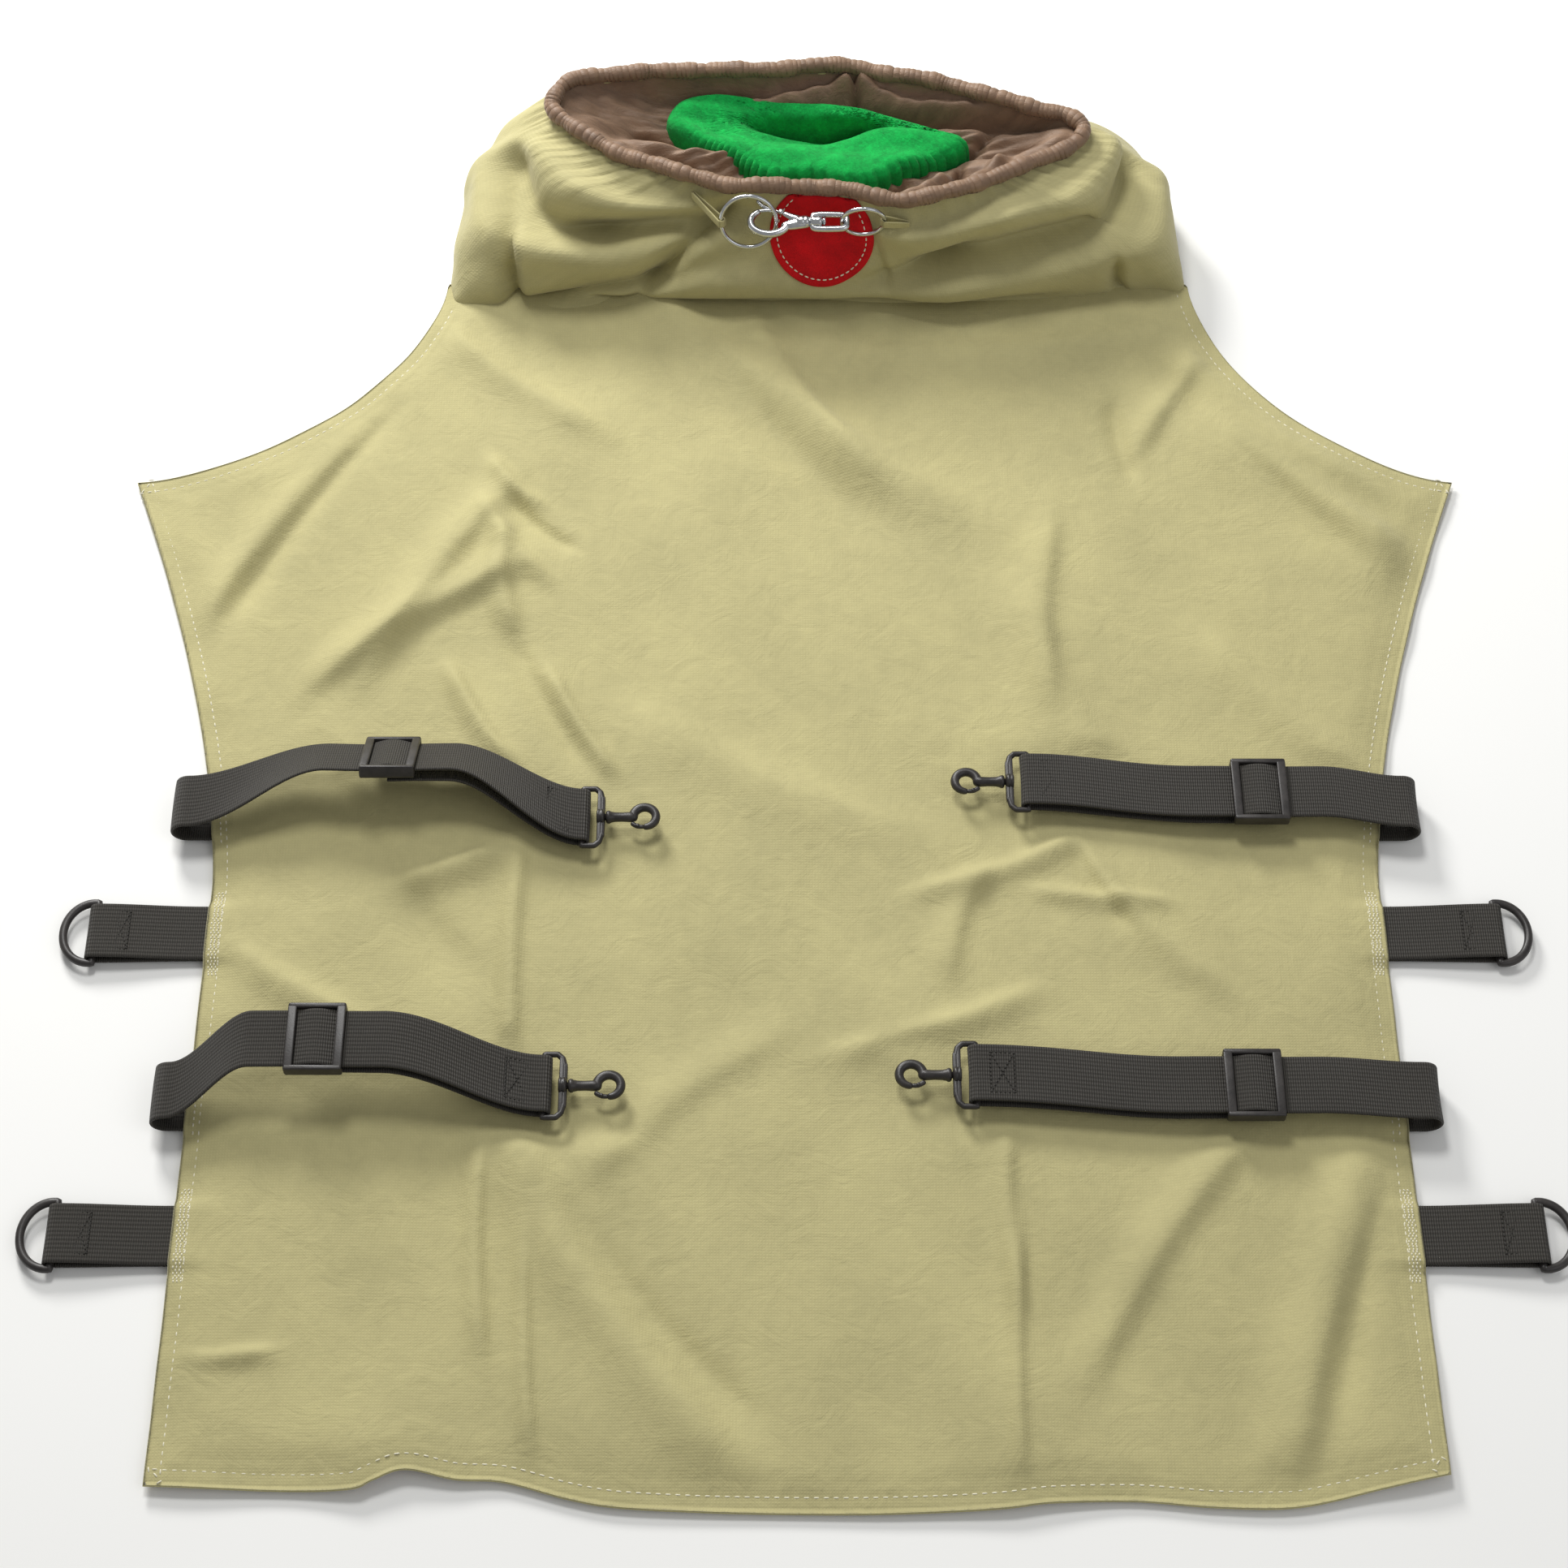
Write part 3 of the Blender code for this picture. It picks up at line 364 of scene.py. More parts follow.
def turned(grid, thickness, under, uv):
    """A cloth seen from above: the grid as its top face, rolled over its edge and turned in underneath."""
    normal = normals_of(grid, False)
    rows, cols = grid.shape[:2]
    i = np.arange(rows * cols).reshape(rows, cols)
    loop = np.concatenate([i[0], i[1:, -1], i[-1, -2::-1], i[-2:0:-1, 0], i[0, :1]])
    r, c = loop // cols, loop % cols
    edge, up = grid[r, c], normal[r, c]
    inner = grid[np.clip(r, 1, rows - 2), np.clip(c, 1, cols - 2)]
    out = unit(edge - inner)
    points, maps, faces = [grid.reshape(-1, 3)], [uv.reshape(-1, 2)], [quads(rows, cols)]
    start, last = rows * cols, loop
    for away, down in ((0.42, 0.15), (0.55, 0.5), (0.42, 0.85), (0, 1), (-under / thickness, 1)):
        points.append(edge + out * (away * thickness) - up * (down * thickness))
        maps.append(uv[r, c] + out[:, :2] * (thickness * down))
        ring = start + np.arange(len(loop))
        faces.append(np.stack([ring[1:], ring[:-1], last[:-1], last[1:]], 1))
        start, last = start + len(loop), ring
    return np.concatenate(points), np.concatenate(faces), np.concatenate(maps)


def tube(path, radius, sides=12, closed=False, normal=(0, 0, 1), squash=1.0, caps=True):
    """A circle carried along a path. Its frame is the path's direction and the given normal, squash
    flattens it along that normal, and an open path ends in rounded caps."""
    path = np.asarray(path, float)
    radius = np.broadcast_to(np.asarray(radius, float), len(path)).copy()
    if closed:
        tangent = unit(np.roll(path, -1, 0) - np.roll(path, 1, 0))
    else:
        tangent = unit(np.gradient(path, axis=0))
        if caps:
            turn = np.linspace(0, np.pi / 2, 5)[1:]
            first = path[0] - tangent[0] * (radius[0] * np.sin(turn))[::-1, None]
            last = path[-1] + tangent[-1] * (radius[-1] * np.sin(turn))[:, None]
            radius = np.concatenate([(radius[0] * np.cos(turn))[::-1], radius, radius[-1] * np.cos(turn)])
            path = np.concatenate([first, path, last])
            tangent = np.concatenate([np.repeat(tangent[:1], 4, 0), tangent, np.repeat(tangent[-1:], 4, 0)])
    side = unit(np.cross(np.broadcast_to(np.asarray(normal, float), tangent.shape), tangent))
    up = unit(np.cross(tangent, side))
    angle = np.linspace(0, 2 * np.pi, sides + 1)
    ring = side[:, None] * np.cos(angle)[:, None] + up[:, None] * (np.sin(angle) * squash)[:, None]
    grid = path[:, None] + ring * radius[:, None, None]
    run = np.concatenate([[0], np.cumsum(np.linalg.norm(np.diff(path, axis=0), axis=1))])
    if closed:
        grid = np.concatenate([grid, grid[:1]])
        run = np.append(run, run[-1] + np.linalg.norm(path[0] - path[-1]))
    mean = float(np.abs(radius).mean())
    uv = np.stack(np.broadcast_arrays(angle[None] * mean, run[:, None]), -1)
    return grid.reshape(-1, 3), quads(*grid.shape[:2]), uv.reshape(-1, 2)


def bar(start, end, width, height, normal=(0, 0, 1), corner=0.35, steps=8):
    """A rounded bar: a square whose corners are drawn in, carried from start to end and drawn in at its ends."""
    start, end = np.asarray(start, float), np.asarray(end, float)
    tangent = unit(end - start)
    side = unit(np.cross(normal, tangent))
    up = np.cross(tangent, side)
    length = np.linalg.norm(end - start)
    soft = corner * min(width, height)
    turn = np.linspace(0, np.pi / 2, 4)
    at = np.concatenate([soft * (1 - np.cos(turn)), length - soft * (1 - np.cos(turn))[::-1]])
    draw = np.concatenate([soft * (1 - np.sin(turn)), soft * (1 - np.sin(turn))[::-1]])
    angle = np.linspace(0, 2 * np.pi, 4 * steps + 1)
    c, s = np.cos(angle), np.sin(angle)
    power = 0.42
    x = np.sign(c) * np.abs(c) ** power
    y = np.sign(s) * np.abs(s) ** power
    wide, high = width / 2 - draw[:, None], height / 2 - draw[:, None]
    grid = (start + tangent * at[:, None])[:, None] + side * (x * wide)[..., None] + up * (y * high)[..., None]
    ends = [np.broadcast_to(start, grid[:1].shape), grid, np.broadcast_to(end, grid[:1].shape)]
    grid = np.concatenate(ends)
    uv = np.stack(np.broadcast_arrays(angle[None] * width / 6, np.linspace(0, length, len(grid))[:, None]), -1)
    return grid.reshape(-1, 3), quads(*grid.shape[:2]), uv.reshape(-1, 2)


def lathe(start, axis, profile, sides=28, normal=(0, 0, 1)):
    """Distances along an axis and radii, turned round it. The first and last radius close at the axis."""
    start, axis = np.asarray(start, float), unit(np.asarray(axis, float))
    side = unit(np.cross(normal, axis))
    up = np.cross(axis, side)
    at, radius = np.asarray(profile, float).T
    at, radius = np.concatenate([at[:1], at, at[-1:]]), np.concatenate([[0], radius, [0]])
    angle = np.linspace(0, 2 * np.pi, sides + 1)
    ring = side * np.cos(angle)[:, None] + up * np.sin(angle)[:, None]
    grid = (start + axis * at[:, None])[:, None] + ring[None] * radius[:, None, None]
    uv = np.stack(np.broadcast_arrays(angle[None] * 0.003, at[:, None]), -1)
    return grid.reshape(-1, 3), quads(*grid.shape[:2]), uv.reshape(-1, 2)


def stitches(points, along, out, length, radius):
    """Short threads, each a six-sided spindle that dips into the cloth at both ends, one at every point."""
    t = np.linspace(-1, 1, 5)
    angle = np.linspace(0, 2 * np.pi, 7)
    r = radius * np.sqrt(np.maximum(1 - t**4, 0))
    local = np.stack(np.broadcast_arrays(
        (t * length / 2)[:, None], r[:, None] * np.cos(angle), r[:, None] * np.sin(angle) - radius * 1.2 * (t**2)[:, None]
    ), -1).reshape(-1, 3)
    side = np.cross(out, along)
    placed = points[:, None] + (
        local[None, :, :1] * along[:, None] + local[None, :, 1:2] * side[:, None] + local[None, :, 2:] * out[:, None]
    )
    one = quads(5, 7)
    faces = (one[None] + (np.arange(len(points)) * 35)[:, None, None]).reshape(-1, 4)
    return placed.reshape(-1, 3), faces, np.zeros((placed.size // 3, 2))


def joined(parts):
    starts = np.cumsum([0] + [len(p[0]) for p in parts[:-1]])
    return (
        np.concatenate([p[0] for p in parts]),
        np.concatenate([p[1] + s for p, s in zip(parts, starts)]),
        np.concatenate([p[2] for p in parts]),
    )


def placed(part, matrix):
    m = np.array(matrix)
    return part[0] @ m[:3, :3].T + m[:3, 3], part[1], part[2]


def piece(name, part, material, nodes=(), body=None, fresh=True, sharp=None):
    """Puts arrays into a mesh, closes its seams, and hangs it on its body in place of CAD nodes."""
    points, faces, uv = part
    mesh = bpy.data.meshes.new(name)
    mesh.vertices.add(len(points))
    mesh.vertices.foreach_set("co", points.astype(np.float32).ravel())
    mesh.loops.add(faces.size)
    mesh.loops.foreach_set("vertex_index", faces.astype(np.int32).ravel())
    mesh.polygons.add(len(faces))
    mesh.polygons.foreach_set("loop_start", np.arange(0, faces.size, 4, dtype=np.int32))
    mesh.update(calc_edges=True)
    layer = mesh.uv_layers.new(name="cloth")
    layer.data.foreach_set("uv", uv[faces.ravel()].astype(np.float32).ravel())
    bm = bmesh.new()
    bm.from_mesh(mesh)
    bmesh.ops.remove_doubles(bm, verts=bm.verts, dist=2e-6)
    bmesh.ops.dissolve_degenerate(bm, dist=1e-7, edges=bm.edges)
    if fresh:
        bmesh.ops.recalc_face_normals(bm, faces=bm.faces)
    for face in bm.faces:
        face.smooth = True
    bm.to_mesh(mesh)
    bm.free()
    if sharp:
        mesh.set_sharp_from_angle(angle=math.radians(sharp))
    obj = bpy.data.objects.new(name, mesh)
    bpy.context.scene.collection.objects.link(obj)
    mesh.materials.append(finish(material))
    if nodes:
        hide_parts(*nodes)
    if body:
        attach(obj, body)
    return obj


# ---------------------------------------------------------------- materials


def linear(hex_colour):
    """sRGB hex to linear RGB and full alpha."""
    raw = np.array([int(hex_colour[i : i + 2], 16) / 255 for i in (0, 2, 4)])
    return (*np.where(raw <= 0.04045, raw / 12.92, ((raw + 0.055) / 1.055) ** 2.4).tolist(), 1.0)


def node(tree, kind, inputs=(), **settings):
    """Adds a shader node, sets it, and gives each input its value or its link."""
    made = tree.nodes.new("ShaderNode" + kind)
    for key, value in settings.items():
        setattr(made, key, value)
    for key, value in dict(inputs).items():
        if isinstance(value, bpy.types.NodeSocket):
            tree.links.new(value, made.inputs[key])
        else:
            made.inputs[key].default_value = value
    return made


def base_material(name, **constants):
    """An empty material with a Principled shader, its constant sockets set."""
    material = bpy.data.materials.new(name)
    material.use_nodes = True
    shader = material.node_tree.nodes["Principled BSDF"]
    for key, value in constants.items():
        shader.inputs[key.replace("_", " ")].default_value = value
    return material, material.node_tree, shader


def in_millimetres(tree):
    """The piece's own cloth map, which is in metres, as millimetres."""
    cloth = node(tree, "UVMap", uv_map="cloth")
    return node(tree, "VectorMath", {0: cloth.outputs["UV"], 3: 1000.0}, operation="SCALE").outputs[0]


def object_millimetres(tree):
    where = node(tree, "TexCoord")
    return node(tree, "VectorMath", {0: where.outputs["Object"], 3: 1000.0}, operation="SCALE").outputs[0]


def noise(tree, where, size, detail=3.0, rough=0.5, warp=0.0):
    """Cloudy noise whose features are about size millimetres across."""
    return node(tree, "TexNoise", {
        "Vector": where, "Scale": 1.0 / size, "Detail": detail, "Roughness": rough, "Distortion": warp,
    }).outputs["Fac"]


def bands(tree, where, spacing, direction, warp=0.0):
    """Parallel ridges this many millimetres apart."""
    return node(tree, "TexWave", {
        "Vector": where, "Scale": 0.3142 / spacing, "Distortion": warp, "Detail": 1.0,
    }, bands_direction=direction).outputs["Fac"]


def math_node(tree, operation, a, b=0.0, c=0.0):
    return node(tree, "Math", {0: a, 1: b, 2: c}, operation=operation).outputs[0]


def ramp(tree, value, *stops):
    """Colours from a value: pairs of place and sRGB hex."""
    made = node(tree, "ValToRGB", {"Fac": value})
    elements = made.color_ramp.elements
    while len(elements) < len(stops):
        elements.new(0.5)
    for element, (at, colour) in zip(elements, stops):
        element.position = at
        element.color = linear(colour)
    return made.outputs["Color"]


def shade(hex_colour, factor):
    """The same sRGB hex lighter or darker."""
    raw = [int(hex_colour[i : i + 2], 16) for i in (0, 2, 4)]
    return "".join(f"{max(0, min(255, round(v * factor))):02X}" for v in raw)


def bump(tree, height, distance, strength=1.0, below=None):
    inputs = {"Height": height, "Distance": distance, "Strength": strength}
    if below is not None:
        inputs["Normal"] = below
    return node(tree, "Bump", inputs).outputs["Normal"]


def canvas_material():
    """Proofed cotton canvas, plain woven: matt, a little mottled, with crossing yarns and soft rubbed creases."""
    colour = hexes().canvas
    material, tree, shader = base_material("proofed_cotton_canvas", Roughness=0.78, Sheen_Weight=0.12,
                                           Sheen_Roughness=0.5, Specular_IOR_Level=0.28)
    where = in_millimetres(tree)
    # Yarns lie 0.6 mm apart, drawn 1.5 mm apart so that the weave still shows from this far.
    warp_yarn, weft_yarn = bands(tree, where, 1.5, "X", 0.4), bands(tree, where, 1.5, "Y", 0.4)
    weave = math_node(tree, "MULTIPLY", warp_yarn, weft_yarn)
    slubs = noise(tree, where, 9.0, 4.0, 0.65, 0.6)
    cloud = noise(tree, where, 70.0, 3.0, 0.55)
    tone = math_node(tree, "MULTIPLY_ADD", slubs, 0.35, math_node(tree, "MULTIPLY", cloud, 0.65))
    paint = ramp(tree, tone, (0.30, shade(colour, 0.93)), (0.52, colour), (0.72, shade(colour, 1.05)))
    dark = node(tree, "Mix", {0: math_node(tree, "MULTIPLY_ADD", weave, -0.16, 0.16), 6: paint,
                              7: linear(shade(colour, 0.80))}, data_type="RGBA").outputs[2]
    tree.links.new(dark, shader.inputs["Base Color"])
    crush = bump(tree, noise(tree, where, 22.0, 5.0, 0.6, 1.2), 0.0016, 0.55)
    fine = bump(tree, noise(tree, where, 5.0, 3.0, 0.6, 0.8), 0.0004, 0.5, crush)
    tree.links.new(bump(tree, weave, 0.00012, 0.6, fine), shader.inputs["Normal"])
    return material


def nylon_material():
    """Woven nylon taffeta: thin, with a soft sheen and small crumples."""
    colour = hexes().lining
    material, tree, shader = base_material("nylon_taffeta", Roughness=0.55, Sheen_Weight=0.12,
                                           Sheen_Roughness=0.35, Specular_IOR_Level=0.4)
    where = in_millimetres(tree)
    # Threads lie 0.15 mm apart, drawn 1.0 mm apart so that they show.
    weave = math_node(tree, "MULTIPLY", bands(tree, where, 1.0, "X"), bands(tree, where, 1.0, "Y"))
    tone = noise(tree, where, 14.0, 4.0, 0.6, 0.8)
    tree.links.new(ramp(tree, tone, (0.3, shade(colour, 0.88)), (0.5, colour), (0.72, shade(colour, 1.10))),
                   shader.inputs["Base Color"])
    crumple = bump(tree, noise(tree, where, 9.0, 4.0, 0.6, 1.5), 0.0012, 0.6)
    tree.links.new(bump(tree, weave, 0.0001, 0.5, crumple), shader.inputs["Normal"])
    return material


def fleece_material():
    """Polyester polar fleece: a deep brushed pile that catches a soft rim of light."""
    colour = hexes().fleece
    material, tree, shader = base_material("polyester_fleece", Roughness=0.95, Sheen_Weight=0.10,
                                           Sheen_Roughness=0.6, Specular_IOR_Level=0.15)
    shader.inputs["Sheen Tint"].default_value = linear("BFF0C8")
    where = object_millimetres(tree)
    # Pile tufts are about 1 mm across, drawn 1.6 mm so that they show.
    pile = noise(tree, where, 1.6, 5.0, 0.75, 0.4)
    clump = noise(tree, where, 7.0, 3.0, 0.6, 0.5)
    tone = math_node(tree, "MULTIPLY_ADD", pile, 0.5, math_node(tree, "MULTIPLY", clump, 0.5))
    tree.links.new(ramp(tree, tone, (0.34, shade(colour, 0.78)), (0.52, colour), (0.70, shade(colour, 1.18))),
                   shader.inputs["Base Color"])
    tree.links.new(bump(tree, pile, 0.0006, 0.7, bump(tree, clump, 0.0012, 0.4)), shader.inputs["Normal"])
    return material


def webbing_material():
    """Woven polypropylene webbing: close ribs across the width and a firm edge line, with a dull shine."""
    colour = hexes().webbing
    material, tree, shader = base_material("polypropylene_webbing", Roughness=0.66, Sheen_Weight=0.06,
                                           Sheen_Roughness=0.4, Specular_IOR_Level=0.4)
    where = in_millimetres(tree)
    # Picks lie 1.2 mm apart, as on real 30 mm webbing, and the warp bundles 2.2 mm apart.
    ribs, warps = bands(tree, where, 1.2, "Y", 0.3), bands(tree, where, 2.2, "X")
    grain = noise(tree, where, 1.1, 4.0, 0.7)
    tone = math_node(tree, "MULTIPLY_ADD", ribs, 0.45, math_node(tree, "MULTIPLY", grain, 0.55))
    tree.links.new(ramp(tree, tone, (0.2, shade(colour, 0.70)), (0.5, colour), (0.85, shade(colour, 1.30))),
                   shader.inputs["Base Color"])
    weave = math_node(tree, "MULTIPLY_ADD", warps, 0.5, ribs)
    tree.links.new(bump(tree, weave, 0.00035, 0.9, bump(tree, noise(tree, where, 12.0), 0.0008, 0.4)),
                   shader.inputs["Normal"])
    return material


def plastic_material():
    """Injection-moulded acetal: black, satin, with a faint spark-eroded grain and rubbed edges."""
    colour = hexes().plastic
    material, tree, shader = base_material("moulded_acetal", Specular_IOR_Level=0.5, IOR=1.48)
    where = object_millimetres(tree)
    grain = noise(tree, where, 0.9, 3.0, 0.6)
    wear = noise(tree, where, 8.0, 4.0, 0.65)
    tree.links.new(ramp(tree, wear, (0.35, shade(colour, 0.85)), (0.75, shade(colour, 1.35))),
                   shader.inputs["Base Color"])
    tree.links.new(math_node(tree, "MULTIPLY_ADD", wear, 0.22, 0.30), shader.inputs["Roughness"])
    tree.links.new(bump(tree, grain, 0.00012, 0.5), shader.inputs["Normal"])
    return material


def patch_material():
    """Red wool felt, pressed: short matted fibres and a dull face."""
    colour = hexes().patch
    material, tree, shader = base_material("pressed_wool_felt", Roughness=0.82, Sheen_Weight=0.06,
                                           Sheen_Roughness=0.5, Specular_IOR_Level=0.25)
    where = object_millimetres(tree)
    fibres = noise(tree, where, 1.3, 5.0, 0.7, 1.5)
    tone = math_node(tree, "MULTIPLY_ADD", fibres, 0.6, math_node(tree, "MULTIPLY", noise(tree, where, 12.0), 0.4))
    tree.links.new(ramp(tree, tone, (0.35, shade(colour, 0.84)), (0.55, colour), (0.72, shade(colour, 1.12))),
                   shader.inputs["Base Color"])
    tree.links.new(bump(tree, fibres, 0.0004, 0.6), shader.inputs["Normal"])
    return material


def metal_material():
    """Nickel-plated steel: bright, with faint drawing lines and handling marks."""
    material, tree, shader = base_material("nickel_plate", Metallic=1.0)
    where = object_millimetres(tree)
    marks = noise(tree, where, 2.2, 5.0, 0.7, 0.8)
    tree.links.new(ramp(tree, marks, (0.3, shade(hexes().metal, 0.88)), (0.7, hexes().metal)),
                   shader.inputs["Base Color"])
    tree.links.new(math_node(tree, "MULTIPLY_ADD", marks, 0.20, 0.14), shader.inputs["Roughness"])
    tree.links.new(bump(tree, marks, 0.00008, 0.4), shader.inputs["Normal"])
    return material


def thread_material():
    """Spun polyester thread: pale, matt, with a slight twist line."""
    colour = hexes().thread
    material, tree, shader = base_material("polyester_thread", Roughness=0.75, Sheen_Weight=0.2)
    where = object_millimetres(tree)
    tree.links.new(ramp(tree, noise(tree, where, 0.8), (0.3, shade(colour, 0.88)), (0.7, colour)),
                   shader.inputs["Base Color"])
    tree.links.new(bump(tree, noise(tree, where, 0.5), 0.0001, 0.5), shader.inputs["Normal"])
    return material


def elastic_material():
    """Covered rubber elastic: off-white, finely ribbed, matt."""
    material, tree, shader = base_material("covered_elastic", Roughness=0.8)
    where = object_millimetres(tree)
    ribs = bands(tree, where, 1.2, "X", 0.5)
    tree.links.new(ramp(tree, ribs, (0.2, "C9C4B8"), (0.8, "E8E4DA")), shader.inputs["Base Color"])
    tree.links.new(bump(tree, ribs, 0.0002, 0.6), shader.inputs["Normal"])
    return material


def floor_material():
    """Matt white paper: plain, with only a trace of tooth."""
    material, tree, shader = base_material("white_paper", Roughness=0.9, Specular_IOR_Level=0.1)
    where = object_millimetres(tree)
    tree.links.new(ramp(tree, noise(tree, where, 400.0), (0.3, hexes().floor), (0.7, shade(hexes().floor, 1.01))),
                   shader.inputs["Base Color"])
    return material


MAKERS = {
    "canvas": canvas_material,
    "lining": nylon_material,
    "fleece": fleece_material,
    "webbing": webbing_material,
    "plastic": plastic_material,
    "patch": patch_material,
    "metal": metal_material,
    "thread": thread_material,
    "elastic": elastic_material,
    "floor": floor_material,
}
finished = {}


def finish(name):
    if name not in finished:
        finished[name] = MAKERS[name]()
    return finished[name]


# ---------------------------------------------------------------- laid sheet


def edge_x(y):
    """Half width at y: straight, then flared towards the front corners as a share to the power 1.5."""
    share = np.clip((np.asarray(y, float) - FLARE_Y) / (SHOULDER_Y - FLARE_Y), 0, None)
    return SHEET_HALF + (SHOULDER_HALF - SHEET_HALF) * share**1.5


def fold_at(y):
    return float(edge_x(y + CLEAR_W / 2)) + FOLD_X


def front_reach(side):
    return SHOULDER_HALF - NECK_HALF - side * NECK_X


def edge_distance(x, y):
    """Distance in from the nearest edge, from the belly edges, the hem and the superellipse of each front edge."""
    belly = (edge_x(np.minimum(y, SHOULDER_Y)) - np.abs(x)) * 0.97
    hem = np.asarray(HEM_LINE, float) / 1000
    rear = y - np.interp(x, hem[:, 0], hem[:, 1])
    reach = np.where(x > 0, front_reach(1), front_reach(-1))
    out = np.maximum(SHOULDER_HALF - np.abs(x), 1e-6)
    up = np.maximum(NECK_TOP_Y - y, 0)
    size = ((out / reach) ** FRONT_CURVE + (up / (NECK_TOP_Y - SHOULDER_Y)) ** FRONT_CURVE) ** (1 / FRONT_CURVE)
    front = np.hypot(out, up) * (1 - 1 / np.maximum(size, 1e-6))
    return np.minimum(np.minimum(belly, rear), front)


def over_webbing(x, y):
    """1 over a webbing end sewn in behind the hem, falling to 0 around it."""
    total = np.zeros(np.shape(x))
    for side, at in [(s[0], s[1]) for s in STRAPS.values()] + list(TABS.values()):
        along = smooth((0.021 - np.abs(y - at)) / 0.008)
        total = np.maximum(total, along * smooth((side * x - float(edge_x(at)) + 0.040) / 0.014))
    return total


def hem_lift(x, y):
    """How far the sheet's edge waves up off the floor near the rear hem and the front corners."""
    rear = np.exp(-(((y - HEM_Y) / 0.055) ** 2))
    wave = 0.0050 * np.exp(-(((x + 0.190) / 0.030) ** 2)) + 0.0040 * np.exp(-(((x - 0.292) / 0.035) ** 2))
    wave += 0.0022 * np.exp(-(((x - 0.110) / 0.028) ** 2)) + 0.0016 * np.exp(-(((x + 0.290) / 0.030) ** 2))
    front = np.exp(-(((np.abs(x) - 0.300) / 0.050) ** 2) - ((y - 0.172) / 0.030) ** 2)
    return rear * wave + front * np.where(x > 0, 0.0045, 0.0020)


def canvas_height(x, y):
    """Middle height of the canvas: level inside, down to the lining at its edges except over webbing, a
    turned hem, the lifted edges, the listed folds and slow ripples."""
    near = edge_distance(x, y)
    hem = sizes().hem
    over = over_webbing(x, y)
    edge = 1 - smooth(near / 0.022)
    height = 0.0053 - edge * 0.0026 * (1 - over) + 0.0003 * over
    height = height + 0.0004 * smooth((hem - near) / 0.0018) * smooth(near / 0.0015)
    height = height - 0.0005 * np.exp(-(((near - 0.0075) / 0.0012) ** 2))
    inside = smooth((near - 0.004) / 0.030)
    depth = sizes().folds
    under_strap = strap_shadow(x, y)
    fold = folds(x * 1000, y * 1000, SHEET_FOLDS, 0.25) / 1000
    roll = ripples(x, y, 7, 16, 0.210, 0.055, 0.0011) + 0.0005 * np.sin(x * 31 + 4 * np.sin(y * 17))
    relief = 2.4 * fold * depth + roll * depth
    relief = np.where(relief > 0, relief * (1 - 0.75 * under_strap), relief * 0.8)
    seam = 0.0016 * smooth((y - 0.262) / 0.022) * smooth((0.225 - np.abs(x - NECK_X)) / 0.03)
    return height + relief * inside + hem_lift(x, y) + seam + 0.0004 * np.sin(y * 130 + x * 40) * (1 - inside)


def strap_shadow(x, y):
    """1 where a strap's hook and webbing lie close over the sheet."""
    total = np.zeros(np.shape(x))
    for side, at, (slider_x, shift, _, _), (bar_x, bar_shift) in STRAPS.values():
        out = side * x
        line = at + np.interp(out, [bar_x, slider_x, slider_x + PLATEAU + 0.04], [bar_shift, shift, 0])
        along = smooth((out - bar_x + 0.060) / 0.02)
        total = np.maximum(total, smooth((0.036 - np.abs(y - line)) / 0.018) * along)
    return total


def sheet_plan(rows, cols, inset=0.0):
    """A patch between four edges: hem, both belly edges, and the front edges with the neck seam between
    them. Each inner point is the sum of the two straight blends less the blend of the corners."""
    hem = even(through(np.asarray(HEM_LINE) / 1000, 800), cols)
    y = np.linspace(-0.4275, SHOULDER_Y, 400)
    left = np.stack([-edge_x(y), y], 1)
    right = np.stack([edge_x(y), y], 1)
    left[:, 1] = np.linspace(hem[0, 1], SHOULDER_Y, 400)
    right[:, 1] = np.linspace(hem[-1, 1], SHOULDER_Y, 400)
    left[:, 0], right[:, 0] = -edge_x(left[:, 1]), edge_x(right[:, 1])
    a = np.linspace(0, np.pi / 2, 300)
    halves = []
    for side in (-1, 1):
        x = SHOULDER_HALF - front_reach(side) * np.sin(a) ** (2 / FRONT_CURVE)
        up = NECK_TOP_Y - (NECK_TOP_Y - SHOULDER_Y) * np.cos(a) ** (2 / FRONT_CURVE)
        halves.append(np.stack([side * x, up], 1))
    top = np.concatenate([halves[0], [[-0.150, 0.300], [0.180, 0.300]], halves[1][::-1]])
    top = even(top, cols)
    left, right = even(left, rows), even(right, rows)
    u, v = np.meshgrid(np.linspace(0, 1, cols), np.linspace(0, 1, rows))
    u, v = u[..., None], v[..., None]
    plan = (1 - v) * hem[None] + v * top[None] + (1 - u) * left[:, None] + u * right[:, None]
    plan -= (1 - u) * (1 - v) * hem[0] + u * (1 - v) * hem[-1] + (1 - u) * v * top[0] + u * v * top[-1]
    if inset:
        middle = plan.mean((0, 1))
        away = plan - middle
        plan = plan - unit(away) * inset * smooth((0.05 - edge_distance(plan[..., 0], plan[..., 1])) / 0.05)[..., None]
    return plan


def make_canvas():
    plan = sheet_plan(300, 300)
    x, y = plan[..., 0], plan[..., 1]
    grid = np.dstack([x, y, canvas_height(x, y) + sizes().cloth / 2])
    part = turned(grid, sizes().cloth, 0.004, plan)
    return piece("canvas_cover", part, "canvas", ["canvas_panel"], "sheet", False)


def make_lining():
    plan = sheet_plan(96, 96, 0.0028)
    x, y = plan[..., 0], plan[..., 1]
    z = 0.00075 + hem_lift(x, y) + 0.0004 * (1 + np.sin(x * 60 + 2 * np.sin(y * 45))) * 0.4
    grid = np.dstack([x, y, z])
    return piece("under_lining", shell(grid, 0.0009, uv=plan.copy()), "lining", ["body_lining"],
                 "sheet", False)


